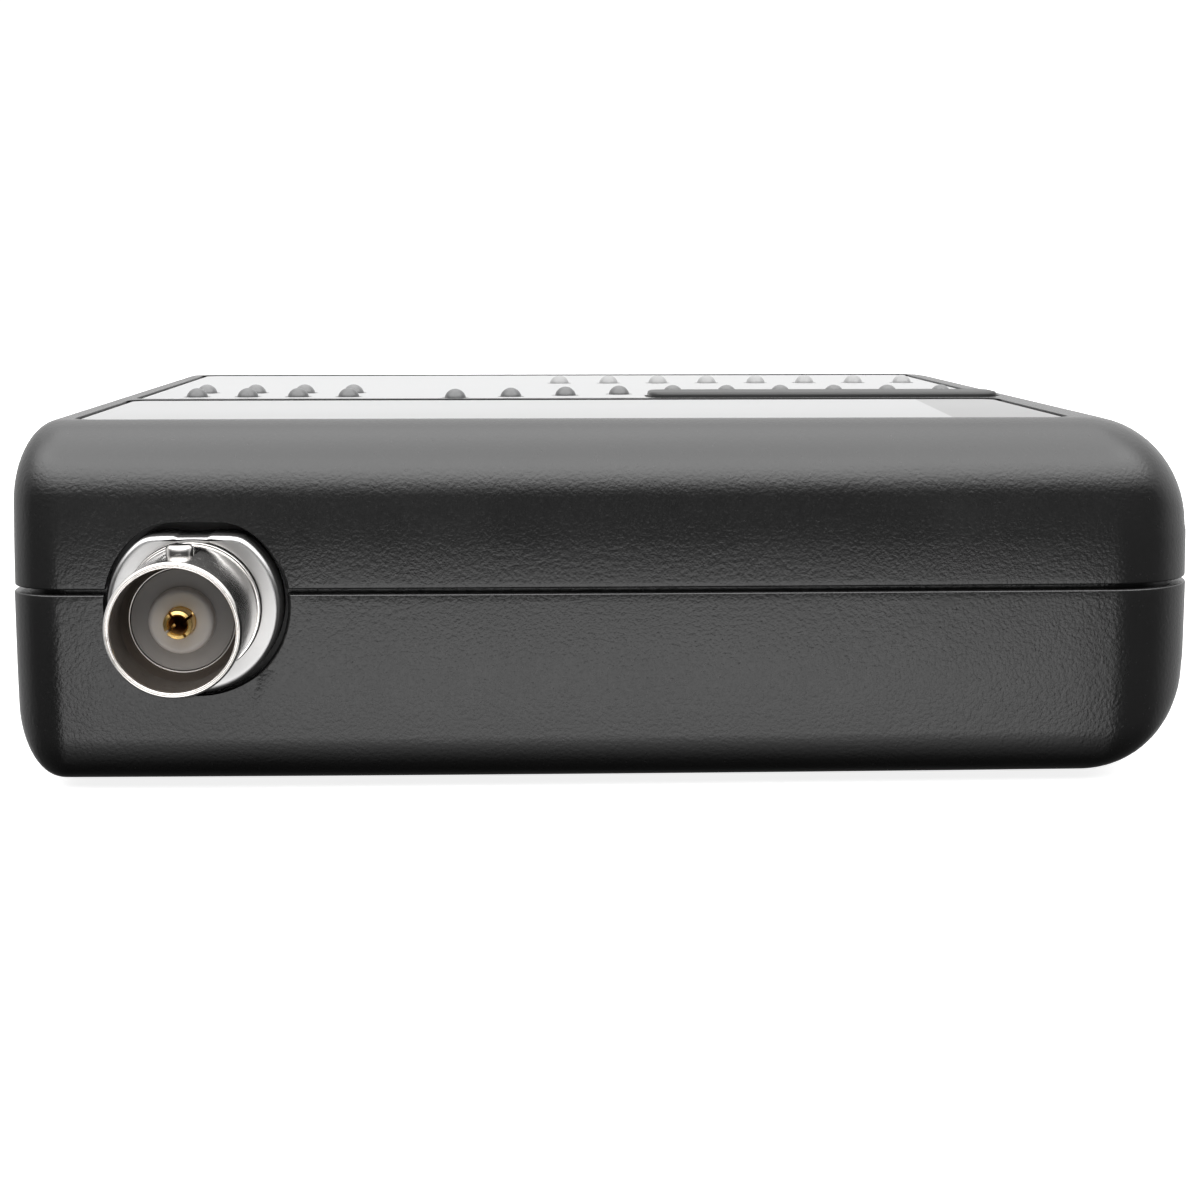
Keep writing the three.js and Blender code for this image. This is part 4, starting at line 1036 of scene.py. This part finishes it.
caseScrew = {"head": 2.8, "headHeight": 2.0, "shaft": 1.45, "pitch": 1.1, "cross": 1.7, "crossDepth": 1.3}
boardScrew = {"head": 2.0, "headHeight": 1.4, "shaft": 1.0, "pitch": 0.7, "cross": 1.2, "crossDepth": 0.9}
screwTurns = iter(rng.uniform(0, math.pi, 6))
for name, stands, boxes, w in (("shell_screw", "case_screw", screwBoxes, caseScrew),
                               ("laminate_screw", "board_screw", boardScrewBoxes, boardScrew)):
    for i, (low, high) in enumerate(boxes, 1):
        x, y = middleOf((low, high))
        screw = addMesh(f"{name}_{i}", screwSurface(x, y, low[2], low[2] + w["headHeight"], w["head"], w["shaft"],
                                                    high[2], w["pitch"]))
        for blade in crossRecess(x, y, low[2], w["cross"], w["crossDepth"], next(screwTurns)):
            worked(screw, blade)
        finishPiece(screw, steel, [f"{stands}_{i}"])


print("inside")
inside = {"main_board": laminate, "logic_chip": chip, "usb_chip": chip, "memory_chip": chip, "regulator": chip,
          "crystal_can": nickel, "arm_button_switch": chip}
for name, material in inside.items():
    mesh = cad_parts[name].data
    if not mesh.materials:
        mesh.materials.append(material)
    for index in range(len(mesh.materials)):
        mesh.materials[index] = material


print("studio")
floorShape = {"half": 4000, "low": -20, "top": -0.02}
half = floorShape["half"]
floorMesh = addMesh("floor", solid(np.array([
    [[-half, -half, z], [half, -half, z], [half, half, z], [-half, half, z]]
    for z in (floorShape["low"], floorShape["top"])], float)))
paper = Finish("studio floor", Roughness=0.9, Emission_Strength=0.85)
paper.use(Base_Color=paper.tint(paper.noise(300, 2), grey(0.86), grey(0.90)), Emission_Color=grey(1.0))
floorMesh.data.materials.append(paper.material)
floorMesh.visible_glossy = False
floorMesh.visible_diffuse = False

# the dome's brightness by the sine of a direction's height: the near side's dark room under an overhead
# softbox, the far side's pale wall, and the table's glow straight in front
studio = {
    "near": [(-1.0, 0.03), (-0.3, 0.06), (0.0, 0.07), (0.22, 0.10), (0.36, 0.7), (0.62, 4.2), (0.78, 5.2),
             (0.95, 4.4), (1.0, 4.2)],
    "far": [(-1.0, 0.03), (-0.5, 0.10), (-0.25, 0.5), (0.0, 0.62), (0.45, 1.0), (0.8, 2.1), (0.95, 3.4), (1.0, 4.2)],
    "table": [(-0.95, 0.05), (-0.75, 0.4), (-0.5, 1.0), (-0.32, 1.9), (-0.24, 2.8), (-0.15, 2.2), (-0.10, 1.5),
              (-0.04, 0.7), (0.02, 0.10)],
    "brightest": 5.2, "tableHalf": 0.36, "tableEdge": 0.24, "softness": 0.24, "backdrop": 1.1,
}


def studioDome():
    world = bpy.data.worlds.new("studio dome")
    bpy.context.scene.world = world
    world.use_nodes = True
    n = Nodes(world.node_tree)
    x, y, z = n.parts(n.node("ShaderNodeTexCoord", out="Generated"))

    def level(stops):
        brightest = studio["brightest"]
        places = [((sine + 1) / 2, grey(bright / brightest)) for sine, bright in stops]
        return n.node("ShaderNodeValToRGB", {"stops": places}, s0=(z + 1) / 2) * brightest
    farSide = y.over(0.05, 0.7)
    inFront = (1 - abs(x).over(studio["tableHalf"], studio["tableEdge"])) * (1 - farSide)
    glow = level(studio["near"]) * (1 - farSide) + level(studio["far"]) * farSide
    glow = glow.maths("MAXIMUM", glow, level(studio["table"]) * inFront)
    matt = n.node("ShaderNodeLightPath", out="Is Diffuse Ray")
    direct = n.node("ShaderNodeLightPath", out="Is Camera Ray")
    lit = n.node("ShaderNodeBackground", Color=grey(1.0), Strength=glow * (1 - matt * (1 - studio["softness"])))
    white = n.node("ShaderNodeBackground", Color=grey(1.0), Strength=studio["backdrop"])
    n.node("ShaderNodeOutputWorld", Surface=n.node("ShaderNodeMixShader", s0=direct, s1=lit, s2=white))


studioDome()
bpy.context.scene.view_settings.view_transform = "Standard"

softboxSetup = {"wide": 1.2, "long": 0.9, "power": 0.8, "at": (0, 0.1, 1.2)}
softbox = bpy.data.lights.new("overhead softbox", "AREA")
softbox.shape, softbox.energy = "RECTANGLE", softboxSetup["power"]
softbox.size, softbox.size_y = softboxSetup["wide"], softboxSetup["long"]
inScene("overhead softbox", softbox).location = softboxSetup["at"]

# the camera's place from the middle and from the case's near face, in millimetres, and its turns in degrees
cameraSetup = {"across": -8.05, "back": 171.2, "height": 38.93, "yaw": 2.354, "down": 8.018, "lens": 68.95}
camera = bpy.data.cameras.new("camera")
camera.lens, camera.sensor_width = cameraSetup["lens"], 36
camera.clip_start, camera.clip_end = 0.005, 50
cameraObject = inScene("camera", camera)
cameraObject.location = (cameraSetup["across"] * mm, (frontY - cameraSetup["back"]) * mm, cameraSetup["height"] * mm)
yaw, down = math.radians(cameraSetup["yaw"]), math.radians(cameraSetup["down"])
forward = Vector((math.sin(yaw) * math.cos(down), math.cos(yaw) * math.cos(down), -math.sin(down)))
cameraObject.rotation_mode = "QUATERNION"
cameraObject.rotation_quaternion = forward.to_track_quat("-Z", "Y")
bpy.context.scene.camera = cameraObject
